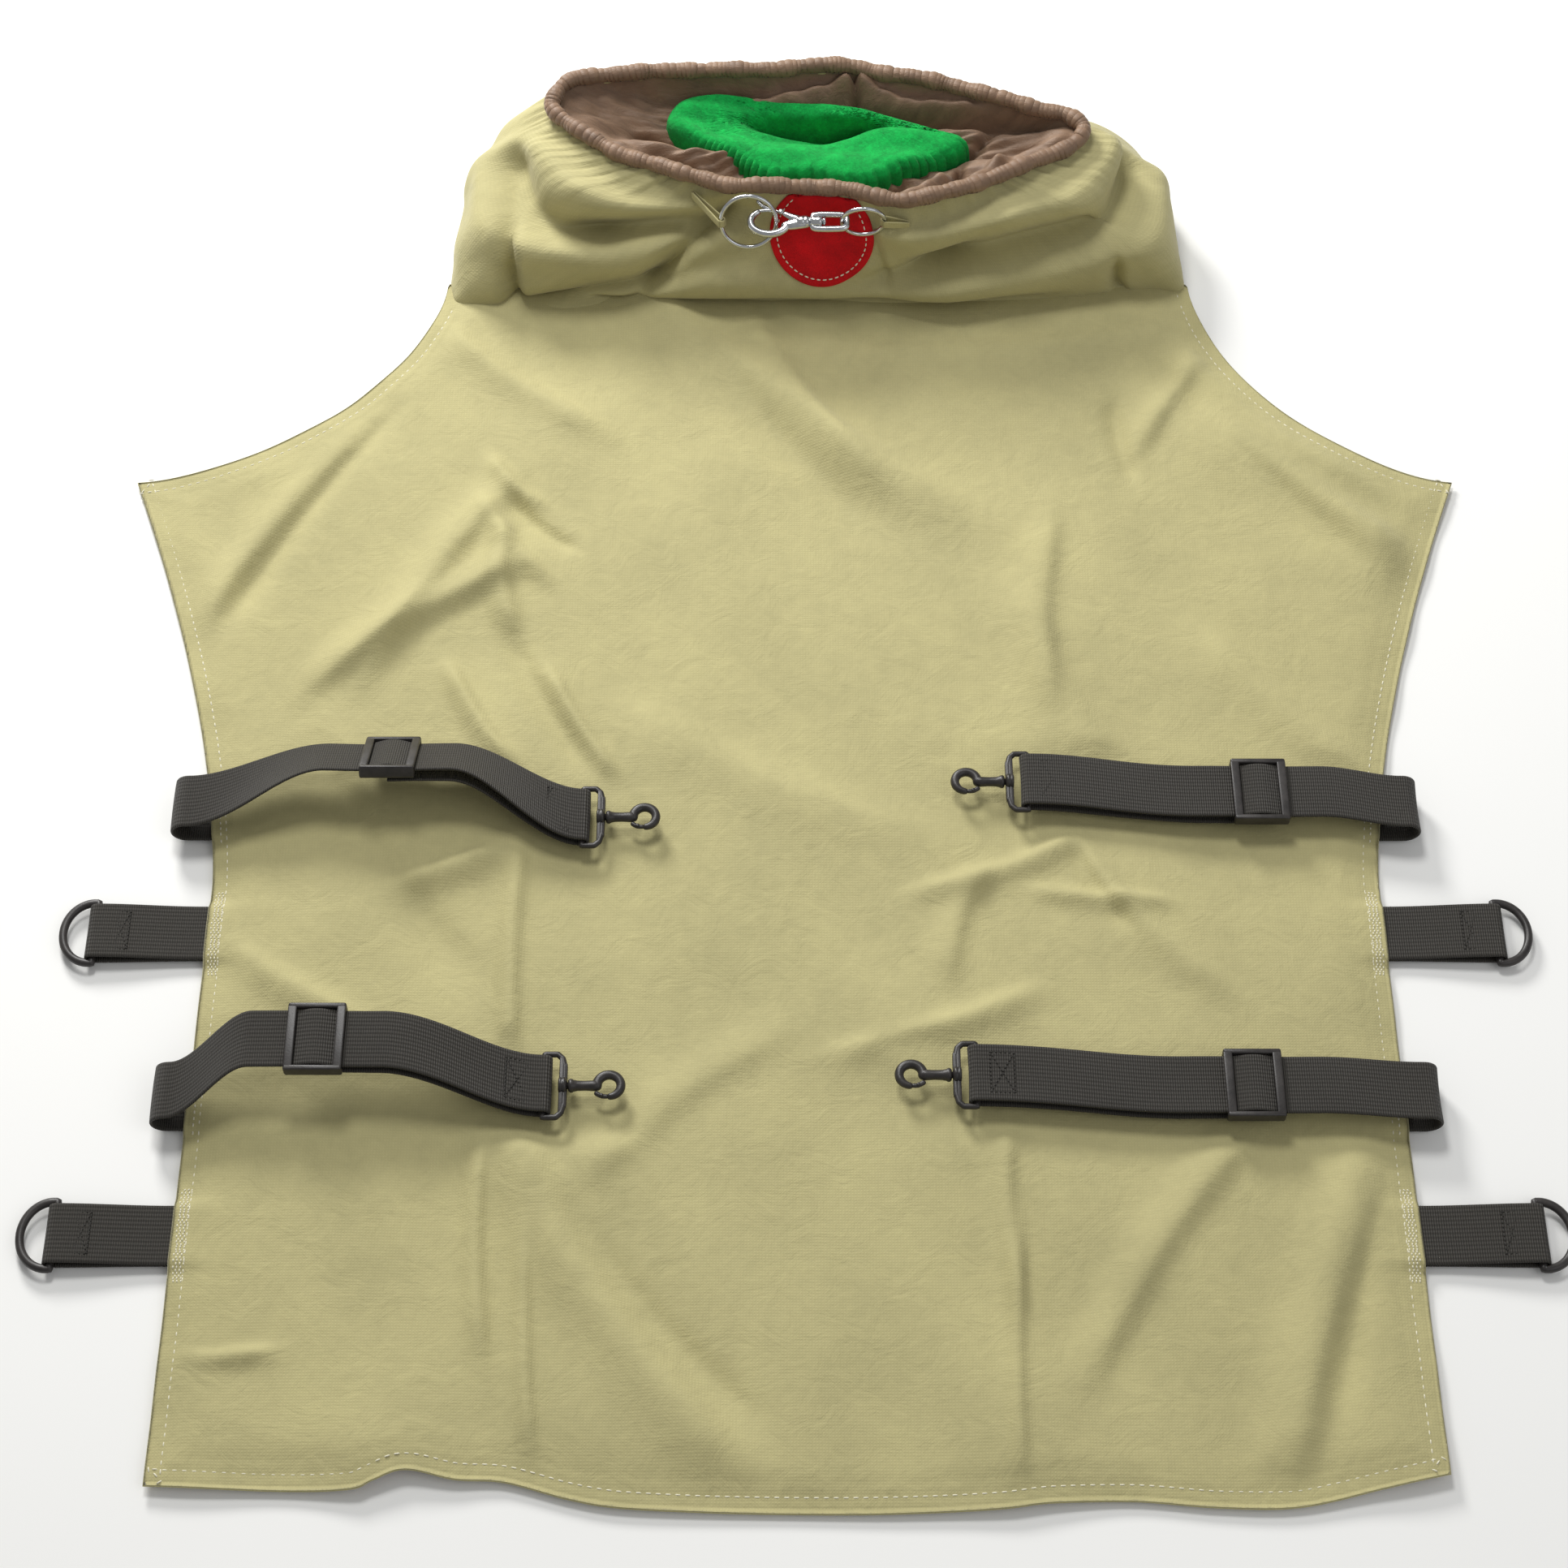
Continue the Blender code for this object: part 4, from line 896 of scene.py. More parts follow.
def edge_line(inset):
    """Points round the free edges of the sheet, this far in: hem, belly edges and front edges."""
    plan = sheet_plan(320, 320)
    ring = np.concatenate([plan[::-1, 0], plan[0, 1:], plan[1:, -1]])
    front = 78
    line = even(np.concatenate([plan[-1, front:0:-1], ring, plan[-1, -2:-front:-1]]), 4000)
    tangent = unit(np.gradient(line, axis=0))
    inward = np.stack([-tangent[:, 1], tangent[:, 0]], 1)
    return line + inward * inset


def on_canvas(line):
    """Points, directions and normals for thread laid along a plan line on the canvas."""
    z = canvas_height(line[:, 0], line[:, 1])
    step = 0.0008
    slope_x = (canvas_height(line[:, 0] + step, line[:, 1]) - z) / step
    slope_y = (canvas_height(line[:, 0], line[:, 1] + step) - z) / step
    out = unit(np.stack([-slope_x, -slope_y, np.ones_like(z)], 1))
    points = np.column_stack([line, z]) + out * (sizes().cloth / 2 + 0.00005)
    along = unit(np.gradient(points, axis=0))
    return points, along, unit(out - along * (out * along).sum(1, keepdims=True))


def sewn(line, spacing=None):
    """Stitches at equal steps along a plan line on the canvas."""
    spacing = spacing or sizes().stitch
    length = np.linalg.norm(np.diff(line, axis=0), axis=1).sum()
    line = even(line, max(3, round(length / spacing)))
    return stitches(*on_canvas(line), spacing * 0.80, sizes().thread)


def make_hem_stitching():
    parts = [sewn(edge_line(0.0075))]
    for side, y in TABS.values():
        for row in (0.0030, 0.0048, 0.0066):
            at = np.linspace(y - 0.024, y + 0.024, 90)
            zig = row + 0.0007 * np.sign(np.sin(np.arange(90) * 1.3))
            parts.append(sewn(np.stack([side * (edge_x(at) - zig), at], 1), 0.0024))
    for side, y in [(s[0], s[1]) for s in STRAPS.values()]:
        at = np.linspace(y - 0.017, y + 0.017, 60)
        parts.append(sewn(np.stack([side * (edge_x(at) - 0.0045), at], 1), 0.0030))
    return piece("hem_thread", joined(parts), "thread", (), "sheet")


# ---------------------------------------------------------------- neck

NECK_CENTRE = (NECK_X, NECK_Y)


def neck_smooth(angle, share):
    """The standing neck cloth without its folds: the foot line at its foot, blended to the rim line as
    it rises, later at the sides, with a bulge low down that hangs over the seam."""
    angle, share = np.broadcast_arrays(angle, share)
    foot = loop_at(np.asarray(FOOT_LINE) / 1000, angle, NECK_CENTRE, (0.213, 0.067))
    rim = loop_at(np.asarray(RIM_LINE) / 1000, angle, NECK_CENTRE, (0.155, 0.054))
    sides = smooth((np.abs(np.cos(angle)) - 0.45) / 0.4)
    lean = (1 - np.clip(1 - share, 0, None) ** 1.3) * (1 - sides) + np.clip(share, 0, None) ** 2.5 * sides
    x, y = np.moveaxis(foot + (rim - foot) * lean[..., None], -1, 0)
    bulge = 0.0115 * np.sin(np.pi * np.clip(share, 0, 1) ** 0.75) * (1 - 0.45 * share) * (1 - sides)
    away = unit(np.stack([(x - NECK_X) / 0.21**2, (y - NECK_Y) / 0.075**2], -1))
    x = x + away[..., 0] * bulge
    y = y + away[..., 1] * bulge
    return np.stack([x, y, 0.0034 + 0.0716 * share], -1)


def near_patch(x, height):
    return np.exp(-(((x - 16) / 36) ** 4) - ((height - 52) / 34) ** 4)


def neck_point(angle, share, plain=False):
    """The neck cloth with its folds, pushed out along its own slope."""
    base = neck_smooth(angle, share)
    if plain:
        return base
    step = 1e-3
    across = neck_smooth(angle + step, share) - base
    up = neck_smooth(angle, share + step) - base
    out = unit(np.cross(across, up))
    x, height = base[..., 0] * 1000, share * 75
    front = smooth((0.005 - np.sin(angle)) / 0.3 + 0.4)
    relief = 1.5 * folds(x, height, NECK_FOLDS, 0.2) * front * (1 - 0.85 * near_patch(x, height))
    back = 1 - front
    round_x = angle * 90
    relief += ripples(round_x, height * 0.8, 21, 12, 60, 18, 1.5) * (0.45 + 0.9 * back)
    gather = np.sin(round_x * 2 * np.pi / 9 + 3 * np.sin(round_x / 21)) * 1.0
    gather += np.sin(round_x * 2 * np.pi / 5.3 + 2 * np.sin(round_x / 13)) * 0.5
    relief += 0.55 * gather * smooth((share - 0.74) / 0.26) * (1 - 0.5 * near_patch(x, height))
    relief *= smooth(share / 0.08)
    return base + out * relief[..., None] / 1000


def make_neck_cloth():
    foot = through(np.asarray(FOOT_LINE) / 1000, 700, True)
    columns = np.unwrap(np.arctan2((foot[:, 1] - NECK_Y) / 0.067, (foot[:, 0] - NECK_X) / 0.213))
    angle, share = np.meshgrid(columns, np.linspace(0, 1, 60))
    grid = neck_point(angle, share)
    run = np.linspace(0, 1.06, 701)
    uv = np.stack(np.broadcast_arrays(run[None], np.linspace(0, 0.090, 60)[:, None]), -1)
    return piece("neck_cloth", shell(grid, 0.0012, True, uv), "canvas", ["neck_tube"], "sheet")


def make_rim():
    """The gathered casing: a tube along the rim line whose radius rises and falls with the gathers."""
    line = through(np.asarray(RIM_LINE) / 1000, 1500, True)
    run = np.linspace(0, 1, 1500, endpoint=False)
    length = 0.72
    phase = 2 * np.pi * run * round(length / sizes().gather)
    z = 0.0788 + 0.0012 * np.sin(2 * np.pi * run * 5 + 1) + 0.0007 * np.sin(2 * np.pi * run * 13)
    gather = np.sin(phase + 3.2 * np.sin(2 * np.pi * run * 11) + 2.5 * np.sin(2 * np.pi * run * 31))
    slow = np.sin(2 * np.pi * run * 23 + 2) + np.sin(2 * np.pi * run * 47)
    radius = 0.0046 + 0.00017 * gather + 0.00032 * slow
    path = np.column_stack([line, z + 0.0003 * gather])
    return piece("rim_casing_cloth", tube(path, radius, 16, True), "lining",
                 ["rim_casing", "rim_elastic"], "sheet")


def gaiter_top(angle):
    return loop_at(np.asarray(GAITER_LINE) / 1000, angle, (0.014, 0.364), (0.088, 0.033))


def make_funnel():
    """The brown lining between rim and gaiter: straight from one line to the other, sagging a little, and
    crumpled by the listed pleats and by small gathers that grow towards the gaiter."""
    angle, share = np.meshgrid(np.linspace(-np.pi, np.pi, 520, endpoint=False), np.linspace(0, 1, 44))
    rim = loop_at(np.asarray(RIM_LINE) / 1000, angle, NECK_CENTRE, (0.155, 0.054))
    inner = gaiter_top(angle)
    middle = np.array([0.014, 0.364])
    rim = middle + (rim - middle) * 0.995
    inner = middle + (inner - middle) * 0.90
    xy = rim + (inner - rim) * share[..., None]
    z = 0.0785 - 0.0225 * share**0.7 - 0.0050 * np.sin(np.pi * share)
    x, y = xy[..., 0] * 1000, xy[..., 1] * 1000
    pleat = 2.1 * folds(x, y, LINING_FOLDS, 0.3) * smooth(share * 6)
    small = np.sin(angle * 34 + 3 * np.sin(angle * 5) + 5 * share) * 1.2 * share
    small += ripples(x, y, 5, 14, 40, 9, 1.6)
    z = z + (pleat + small * smooth(share * 4)) / 1000
    grid = np.dstack([xy, np.minimum(z, 0.0835)])
    uv = np.stack(np.broadcast_arrays(np.linspace(0, 0.74, 521)[None], np.linspace(0, 0.055, 44)[:, None]), -1)
    return piece("neck_funnel", shell(grid, 0.0009, True, uv), "lining", ["neck_lining"], "sheet")


def make_gaiter():
    """The fleece gaiter: up its outer wall, over a soft lip, and in and down to a slit of a mouth."""
    angle = np.linspace(-np.pi, np.pi, 420, endpoint=False)
    outline = gaiter_top(angle)
    middle = np.array([0.014, 0.3665])
    slit = (0.010, 0.377) + np.stack([0.028 * np.cos(angle), 0.0025 * np.sin(angle) + 0.004 * np.cos(angle) ** 2], 1)
    stops = np.array([0, 0.22, 0.34, 0.44, 0.56, 0.72, 0.86, 1.0])
    pull = np.interp(np.linspace(0, 1, 60), stops, [0.0, 0.0, 0.02, 0.09, 0.30, 0.74, 0.94, 1.0])
    rise = np.interp(np.linspace(0, 1, 60), stops, [0.008, 0.050, 0.0625, 0.0660, 0.0652, 0.0618, 0.0540, 0.020])
    kernel = np.exp(-np.linspace(-2, 2, 9) ** 2)
    kernel /= kernel.sum()
    pull = np.convolve(np.pad(pull, 4, "edge"), kernel, "valid")
    rise = np.convolve(np.pad(rise, 4, "edge"), kernel, "valid")
    xy = outline[None] + (slit - outline)[None] * pull[:, None, None]
    ang = np.broadcast_to(angle, pull.shape + angle.shape)
    ribs = np.sin(ang * 62 + 2 * np.sin(ang * 9)) * 0.0011 * np.exp(-(((pull[:, None] - 0.02) / 0.12) ** 2))
    ribs = ribs * smooth((0.2 - np.sin(ang)) / 0.8)
    away = unit(outline - middle)
    xy = xy + away[None] * ribs[..., None]
    x, y = xy[..., 0] * 1000, xy[..., 1] * 1000
    soft = ripples(x, y, 11, 12, 70, 16, 1.6) + folds(x, y, (
        (-60, 388, 20, 382, 7, 2.5), (-20, 378, 40, 376, 4, -3.0), (30, 378, 92, 362, 7, 2.5),
        (-66, 372, -24, 352, 6, 2.0), (0, 350, 60, 345, 8, 2.0), (-10, 366, 30, 372, 5, -3.5)), 0.3)
    z = rise[:, None] + soft / 1000 * smooth((rise[:, None] - 0.04) / 0.02)
    fuzz = np.random.default_rng(3).normal(0, 0.00008, z.shape)
    grid = np.dstack([xy, z + fuzz])
    uv = np.stack(np.broadcast_arrays(np.linspace(0, 0.40, 421)[None], np.linspace(0, 0.11, 60)[:, None]), -1)
    return piece("fleece_gaiter", shell(grid, 0.0028, True, uv), "fleece",
                 ["neck_gaiter", "gaiter_elastic"], "sheet")


def front_of_neck(x, z, lift):
    """The point of the neck cloth at x and z, found by halving, and pushed out by lift."""
    share = (z - 0.0034) / 0.0716
    low, high = np.full(np.shape(x), -2.9), np.full(np.shape(x), -0.25)
    for _ in range(30):
        angle = (low + high) / 2
        left = neck_point(angle, share, True)[..., 0] < x
        low, high = np.where(left, angle, low), np.where(left, high, angle)
    base = neck_point(angle, share)
    across = neck_point(angle + 2e-3, share, True) - neck_point(angle, share, True)
    up = neck_point(angle, share + 2e-3, True) - neck_point(angle, share, True)
    return base + unit(np.cross(across, up)) * np.asarray(lift)[..., None]


PATCH_MIDDLE = (0.016, 0.0520)


def patch_surface(radius, angle, lift):
    """Points of a round patch that lies on the neck cloth: polar steps across it and up the cloth's slope."""
    x = PATCH_MIDDLE[0] + radius * np.cos(angle)
    z = np.minimum(PATCH_MIDDLE[1] + radius * np.sin(angle) * 0.90, 0.0725)
    return front_of_neck(x, z, lift)


def make_patch():
    radius, angle = np.meshgrid(np.linspace(0.0004, 0.0298, 26), np.linspace(0, 2 * np.pi, 120, endpoint=False),
                                indexing="ij")
    dome = 0.0014 + 0.0004 * smooth((0.029 - radius) / 0.006) - 0.0006 * np.exp(-(((radius - 0.0262) / 0.0010) ** 2))
    grid = patch_surface(radius, angle, dome)[::-1]
    uv = np.stack([radius * angle, radius], -1)
    uv = np.concatenate([uv, uv[:, :1]], 1)
    patch = piece("round_patch", shell(grid, 0.0014, True, uv), "patch", ["neck_patch"], "sheet")
    count = 46
    at = np.linspace(0, 2 * np.pi, count, endpoint=False)
    points = patch_surface(np.full(count, 0.0262), at, np.full(count, 0.0021))
    ahead = patch_surface(np.full(count, 0.0262), at + 0.02, np.full(count, 0.0021))
    outer = patch_surface(np.full(count, 0.0270), at, np.full(count, 0.0021))
    along = unit(ahead - points)
    out = unit(np.cross(outer - points, along))
    keep = points[:, 2] < 0.070
    thread = stitches(points[keep], along[keep], out[keep], 0.0029, 0.00042)
    piece("patch_thread", thread, "thread", (), "sheet")
    return patch


# ---------------------------------------------------------------- neck clip

WALL = Matrix((
    (1, 0, 0, 0.016),
    (0, 0.4081924558, -0.9128958583, 0.3043327630),
    (0, 0.9128958583, 0.4081924558, 0.0549999997),
    (0, 0, 0, 1),
))
CLIP = WALL @ Matrix.Translation((0, CLIP_UP, CLIP_LIFT)) @ Matrix.Rotation(math.radians(-50), 4, "X")


def wire_ring(x, radius, tilt, squash):
    """A wire ring turned about the clip's line by tilt, drawn a little oval, with its butt joint showing."""
    a = np.linspace(0, 2 * np.pi, 120, endpoint=False)
    wave = radius * (1 + squash * np.cos(2 * a))
    across = radius * np.sin(a) * (1 - squash)
    path = np.stack([x + radius * np.cos(a), CLIP_UP + across * math.cos(tilt), CLIP_LIFT + across * math.sin(tilt)], 1)
    normal = (0, -math.sin(tilt), math.cos(tilt))
    wire = CLIP_WIRE_R * (1 - 0.16 * np.exp(-(((a - np.pi * 0.5) / 0.03) ** 2))) + 0 * wave
    return placed(tube(path, wire, 14, True, normal), WALL)


def make_clip():
    piece("left_wire_ring", wire_ring(-0.0425, 0.0160, math.radians(3), 0.0), "metal", ["clip_ring"],
          "clip_ring")
    piece("right_wire_ring", wire_ring(0.0235, 0.0125, math.radians(32), 0.0), "metal", ["pull_ring"],
          "pull_ring")
    middle_x, half = -0.0305, (0.0108, 0.0077)
    a = np.radians(np.linspace(128, 338, 60))
    jaw = np.stack([middle_x + half[0] * np.cos(a), half[1] * np.sin(a), 0 * a], 1)
    wall = 0.00215 * np.interp(np.linspace(0, 1, 60), [0, 0.15, 1], [0.80, 1.0, 1.05])
    body = [
        tube(jaw, wall, 14),
        tube([(-0.0212, -0.0026, 0), (-0.0170, -0.0016, 0), (-0.0100, 0, 0)], [0.0026, 0.0034, 0.0040], 18, squash=0.70),
        tube([(-0.0215, 0.0050, 0), (-0.0180, 0.0032, 0), (-0.0120, 0.0012, 0)], [0.0016, 0.0021, 0.0024], 14, squash=0.7),
        lathe((-0.0148, 0, 0), (1, 0, 0), [(0, 0.0024), (0.0004, 0.0032), (0.0010, 0.0034), (0.0016, 0.0030),
              (0.0022, 0.0034), (0.0038, 0.0035), (0.0044, 0.0031), (0.0050, 0.0035), (0.0066, 0.0034),
              (0.0070, 0.0028), (0.0072, 0.0017), (0.0152, 0.0017), (0.0153, 0.0024), (0.0164, 0.0024),
              (0.0167, 0.0018)]),
    ]
    piece("snap_jaw", placed(joined(body), CLIP), "metal", ["clip_jaw"], "clip_jaw")
    a = np.radians(52)
    pivot = (middle_x + half[0] * math.cos(a), half[1] * math.sin(a))
    a = np.radians(122)
    tip = (middle_x + half[0] * math.cos(a), half[1] * math.sin(a))
    bow = np.array([(pivot[0], pivot[1], 0), ((pivot[0] + tip[0]) / 2, pivot[1] + 0.0010, 0), (tip[0], tip[1] + 0.0002, 0)])
    ear = np.array([((pivot[0] + tip[0]) / 2 + 0.001, pivot[1] + 0.0012, 0), (middle_x - 0.0040, 0.0100, 0),
                    (middle_x - 0.0063, 0.0127, 0)])
    lever = [
        tube(through(bow, 20), 0.00105, 12),
        tube(through(ear, 16), np.linspace(0.0010, 0.0014, 16), 12),
        lathe((pivot[0], pivot[1], -0.0017), (0, 0, 1), [(0, 0.0011), (0.0002, 0.0015), (0.0032, 0.0015),
              (0.0034, 0.0011)], 20, (1, 0, 0)),
    ]
    piece("snap_lever", placed(joined(lever), CLIP), "metal", ["clip_lever"], "clip_lever")
    low, high, wide = -0.0070, 0.0154, 0.0044
    loop = np.array([(low + 0.0012, -0.0022, 0), (low + 0.0036, -wide, 0), (high - 0.0048, -wide, 0),
                     (high - 0.0018, -0.0030, 0), (high - 0.0014, 0, 0), (high - 0.0018, 0.0030, 0),
                     (high - 0.0048, wide, 0), (low + 0.0036, wide, 0), (low + 0.0012, 0.0022, 0),
                     (low + 0.0008, 0, 0)])
    eye = [
        tube(through(loop, 90, True), 0.00185, 14, True),
        lathe((low, 0, 0), (1, 0, 0), [(0, 0.0021), (0.0004, 0.0031), (0.0016, 0.0034), (0.0030, 0.0034),
              (0.0042, 0.0033), (0.0055, 0.0036), (0.0066, 0.0031), (0.0069, 0.0021)]),
    ]
    piece("swivel_eye", placed(joined(eye), CLIP), "metal", ["clip_eye"], "clip_eye")
    make_ring_tab("ring_strip_left", "clip_tab_left", -0.0585, math.radians(3), -0.016, 0.0085, 0.0036)
    make_ring_tab("ring_strip_right", "clip_tab_right", 0.0360, math.radians(32), 0.014, 0.0010, 0.0050)


def make_ring_tab(name, replaced, wire_x, tilt, run, rise, width):
    """A strip sewn to the neck that loops round a ring's wire: out along one line, round and back."""
    wire = np.array([wire_x, CLIP_UP, CLIP_LIFT])
    foot_world = WALL @ Vector((wire_x + run, CLIP_UP + rise, 0))
    foot = front_of_neck(np.array([foot_world.x]), np.array([min(foot_world.z, 0.069)]), np.array([0.0016]))[0]
    foot = np.array(WALL.inverted() @ Vector(foot))
    lead = unit(foot - wire)
    flat = np.array([0, math.cos(tilt), math.sin(tilt)])
    side = unit(np.cross(flat, lead))
    a = np.linspace(0, np.pi, 14)
    radius = CLIP_WIRE_R + 0.0009
    round_wire = wire + side * (np.cos(a) * radius)[:, None] - lead * (np.sin(a) * radius)[:, None]
    path = through(np.concatenate([[foot + side * 0.0007], round_wire, [foot - side * 0.0007]]), 60)
    across = np.linspace(-width / 2, width / 2, 7)
    grid = path[:, None] + flat * across[None, :, None]
    uv = np.stack(np.broadcast_arrays(across[None], np.linspace(0, 0.04, 60)[:, None]), -1)
    part = placed(shell(grid, 0.0009, uv=uv), WALL)
    return piece(name, part, "canvas", [replaced], "sheet")


# ---------------------------------------------------------------- straps


def strap_station(x, strap):
    """y, height and roll of the strap's middle plane: smooth steps up to the slider and down to the hook."""
    side, y, (slider_x, shift, lift, roll), (bar_x, bar_shift) = strap
    fold_x = fold_at(y)
    outer = smooth((fold_x - x) / (fold_x - slider_x - PLATEAU))
    inner = smooth((x - bar_x) / (slider_x - PLATEAU - bar_x))
    share = np.minimum(outer, inner)
    angle = math.radians(roll) * share
    room = (WEB_W / 2 + SLIDER_RAIL) * abs(math.sin(math.radians(roll))) * share
    ends = np.where(x < slider_x, bar_shift, 0.0)
    return y + ends + (shift - ends) * share, HOOK_Z + np.maximum(lift * share, room), angle


def webbing(line, across, thickness=WEB_T * 0.94, wave=0.0, run=None):
    """Webbing along a line of middles with given unit directions across it. Its edges are a little
    thicker than its middle, and it cups and waves slightly."""
    share = np.linspace(-1, 1, 19)
    grid = line[:, None] + across[:, None] * (share * WEB_W / 2)[None, :, None]
    run = np.concatenate([[0], np.cumsum(np.linalg.norm(np.diff(line, axis=0), axis=1))])
    if wave:
        normal = normals_of(grid, False)
        cup = wave * (share**2 - 0.4)[None] * np.sin(run * 55)[:, None] + 0.6 * wave * np.sin(run * 90 + 1)[:, None]
        grid = grid + normal * cup[..., None]
    thick = thickness * (1 - 0.10 * np.cos(share * np.pi * 0.5) ** 2)
    uv = np.stack(np.broadcast_arrays((share * WEB_W / 2)[None], run[:, None]), -1)
    return shell(grid, np.broadcast_to(thick, grid.shape[:2]), uv=uv)


def strap_line(name):
    """Middle line and across directions: from under the hem, round the fold, over the slider to the
    hook's bar, round it, and back beneath to the slider."""
    strap = STRAPS[name]
    side, y, (slider_x, _, _, _), (bar_x, bar_shift) = strap
    edge, fold_x = float(edge_x(y)), fold_at(y)
    level = lambda x, at_y, z: (np.stack([side * x, np.broadcast_to(at_y, x.shape), z], 1),
                                np.broadcast_to([0.0, 1.0, 0.0], (len(x), 3)))
    tucked = np.linspace(edge - 0.0060, fold_x, 10)[:-1]
    a = np.linspace(-np.pi / 2, np.pi / 2, 24)
    b = np.linspace(np.pi / 2, 1.5 * np.pi, 18)

    def ply(x, offset):
        at_y, z, roll = strap_station(x, strap)
        normal = np.stack([0 * x, -np.sin(roll), np.cos(roll)], 1)
        across = np.stack([0 * x, np.cos(roll), np.sin(roll)], 1)
        return np.stack([side * x, at_y, z], 1) + normal * offset, across

    pieces = [
        level(tucked, y, np.full(9, SEWN_Z)),
        level(fold_x + FOLD_R * np.cos(a), y, FOLD_Z + FOLD_R * np.sin(a)),
        ply(np.linspace(fold_x, bar_x, 150)[1:-1], PLY_OFFSET),
        level(bar_x + PLY_OFFSET * np.cos(b), y + bar_shift, HOOK_Z + PLY_OFFSET * np.sin(b)),
        ply(np.linspace(bar_x, slider_x, 80)[1:], -PLY_OFFSET),
    ]
    return np.concatenate([p[0] for p in pieces]), np.concatenate([p[1] for p in pieces])


def box_stitch(centre, along, across, out, length, width, spacing=0.0024):
    """A sewn box with a cross in it, on webbing."""
    corners = np.array([(-1, -1), (1, -1), (1, 1), (-1, 1), (-1, -1), (1, 1), (1, -1), (-1, 1)]) * (length / 2, width / 2)
    line = even(corners.astype(float), round((3 * length + 3 * width + 2 * math.hypot(length, width)) / spacing))
    points = centre + along * line[:, :1] + across * line[:, 1:]
    heading = unit(np.gradient(points, axis=0))
    return stitches(points, heading, np.broadcast_to(out, points.shape), spacing * 0.75, 0.00032)


def make_straps():
    for name, strap in STRAPS.items():
        side, y, (slider_x, _, _, _), (bar_x, bar_shift) = strap
        line, across = strap_line(name)
        web = piece(f"webbing_{name}", webbing(line, across, wave=0.00035), "webbing",
                    [f"strap_{name}", f"strap_end_{name}"])
        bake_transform(web)
        # Where the doubled webbing is sewn together, beside the hook.
        x = bar_x + 0.013
        at_y, z, roll = (float(v) for v in strap_station(np.array(x), strap))
        out = np.array([0, -math.sin(roll), math.cos(roll)])
        centre = np.array([side * x, at_y, z]) + out * (PLY_OFFSET + WEB_T / 2 - 0.0001)
        step = [float(v) for v in strap_station(np.array(x + 0.004), strap)]
        along = unit(np.array([side * 0.004, step[0] - at_y, step[1] - z]))
        part = box_stitch(centre, along, np.array([0, math.cos(roll), math.sin(roll)]), out, 0.012, 0.022)
        piece(f"webbing_thread_{name}", part, "webbing", (), f"strap_{name}")


def make_sliders():
    """Three-bar sliders: two rails joined by end bars above the webbing and a middle bar below it, and
    the short hump of webbing that runs over the middle bar."""
    for name, strap in STRAPS.items():
        side, slider_x = strap[0], strap[2][0]
        y, z, roll = (float(v) for v in strap_station(np.array(slider_x), strap))
        place = Matrix.Translation((side * slider_x, y, z)) @ Matrix.Rotation(roll, 4, "X")
        rail_y = CLEAR_W / 2 + SLIDER_RAIL / 2
        top, low = PLY_OFFSET + WEB_T / 2 + 0.0005, PLY_OFFSET - WEB_T / 2 - 0.0005
        half = SLIDER_L / 2
        parts = [bar((-half, s * rail_y, (top + 0.0022 + low - 0.0022) / 2), (half, s * rail_y,
                 (top + 0.0022 + low - 0.0022) / 2), SLIDER_RAIL, top - low + 0.0044) for s in (-1, 1)]
        for x in (-half + 0.00225, half - 0.00225):
            parts.append(bar((x, -rail_y, top + 0.0011), (x, rail_y, top + 0.0011), 0.0045, 0.0022, corner=0.45))
        parts.append(bar((0, -rail_y, low - 0.0011), (0, rail_y, low - 0.0011), 0.0045, 0.0022, corner=0.45))
        piece(f"slide_frame_{name}", placed(joined(parts), place), "plastic",
              [f"slider_{name}"], f"slider_{name}")
        x = np.linspace(-0.0096, 0.0096, 30)
        hump = 0.0019 * np.cos(x / 0.0096 * np.pi / 2) ** 1.2
        line = np.stack([x, 0 * x, PLY_OFFSET + 0.0009 + hump], 1)
        part = placed(webbing(line, np.broadcast_to([0.0, 1.0, 0.0], line.shape), 0.0012), place)
        piece(f"slide_hump_{name}", part, "webbing", (), f"slider_{name}")


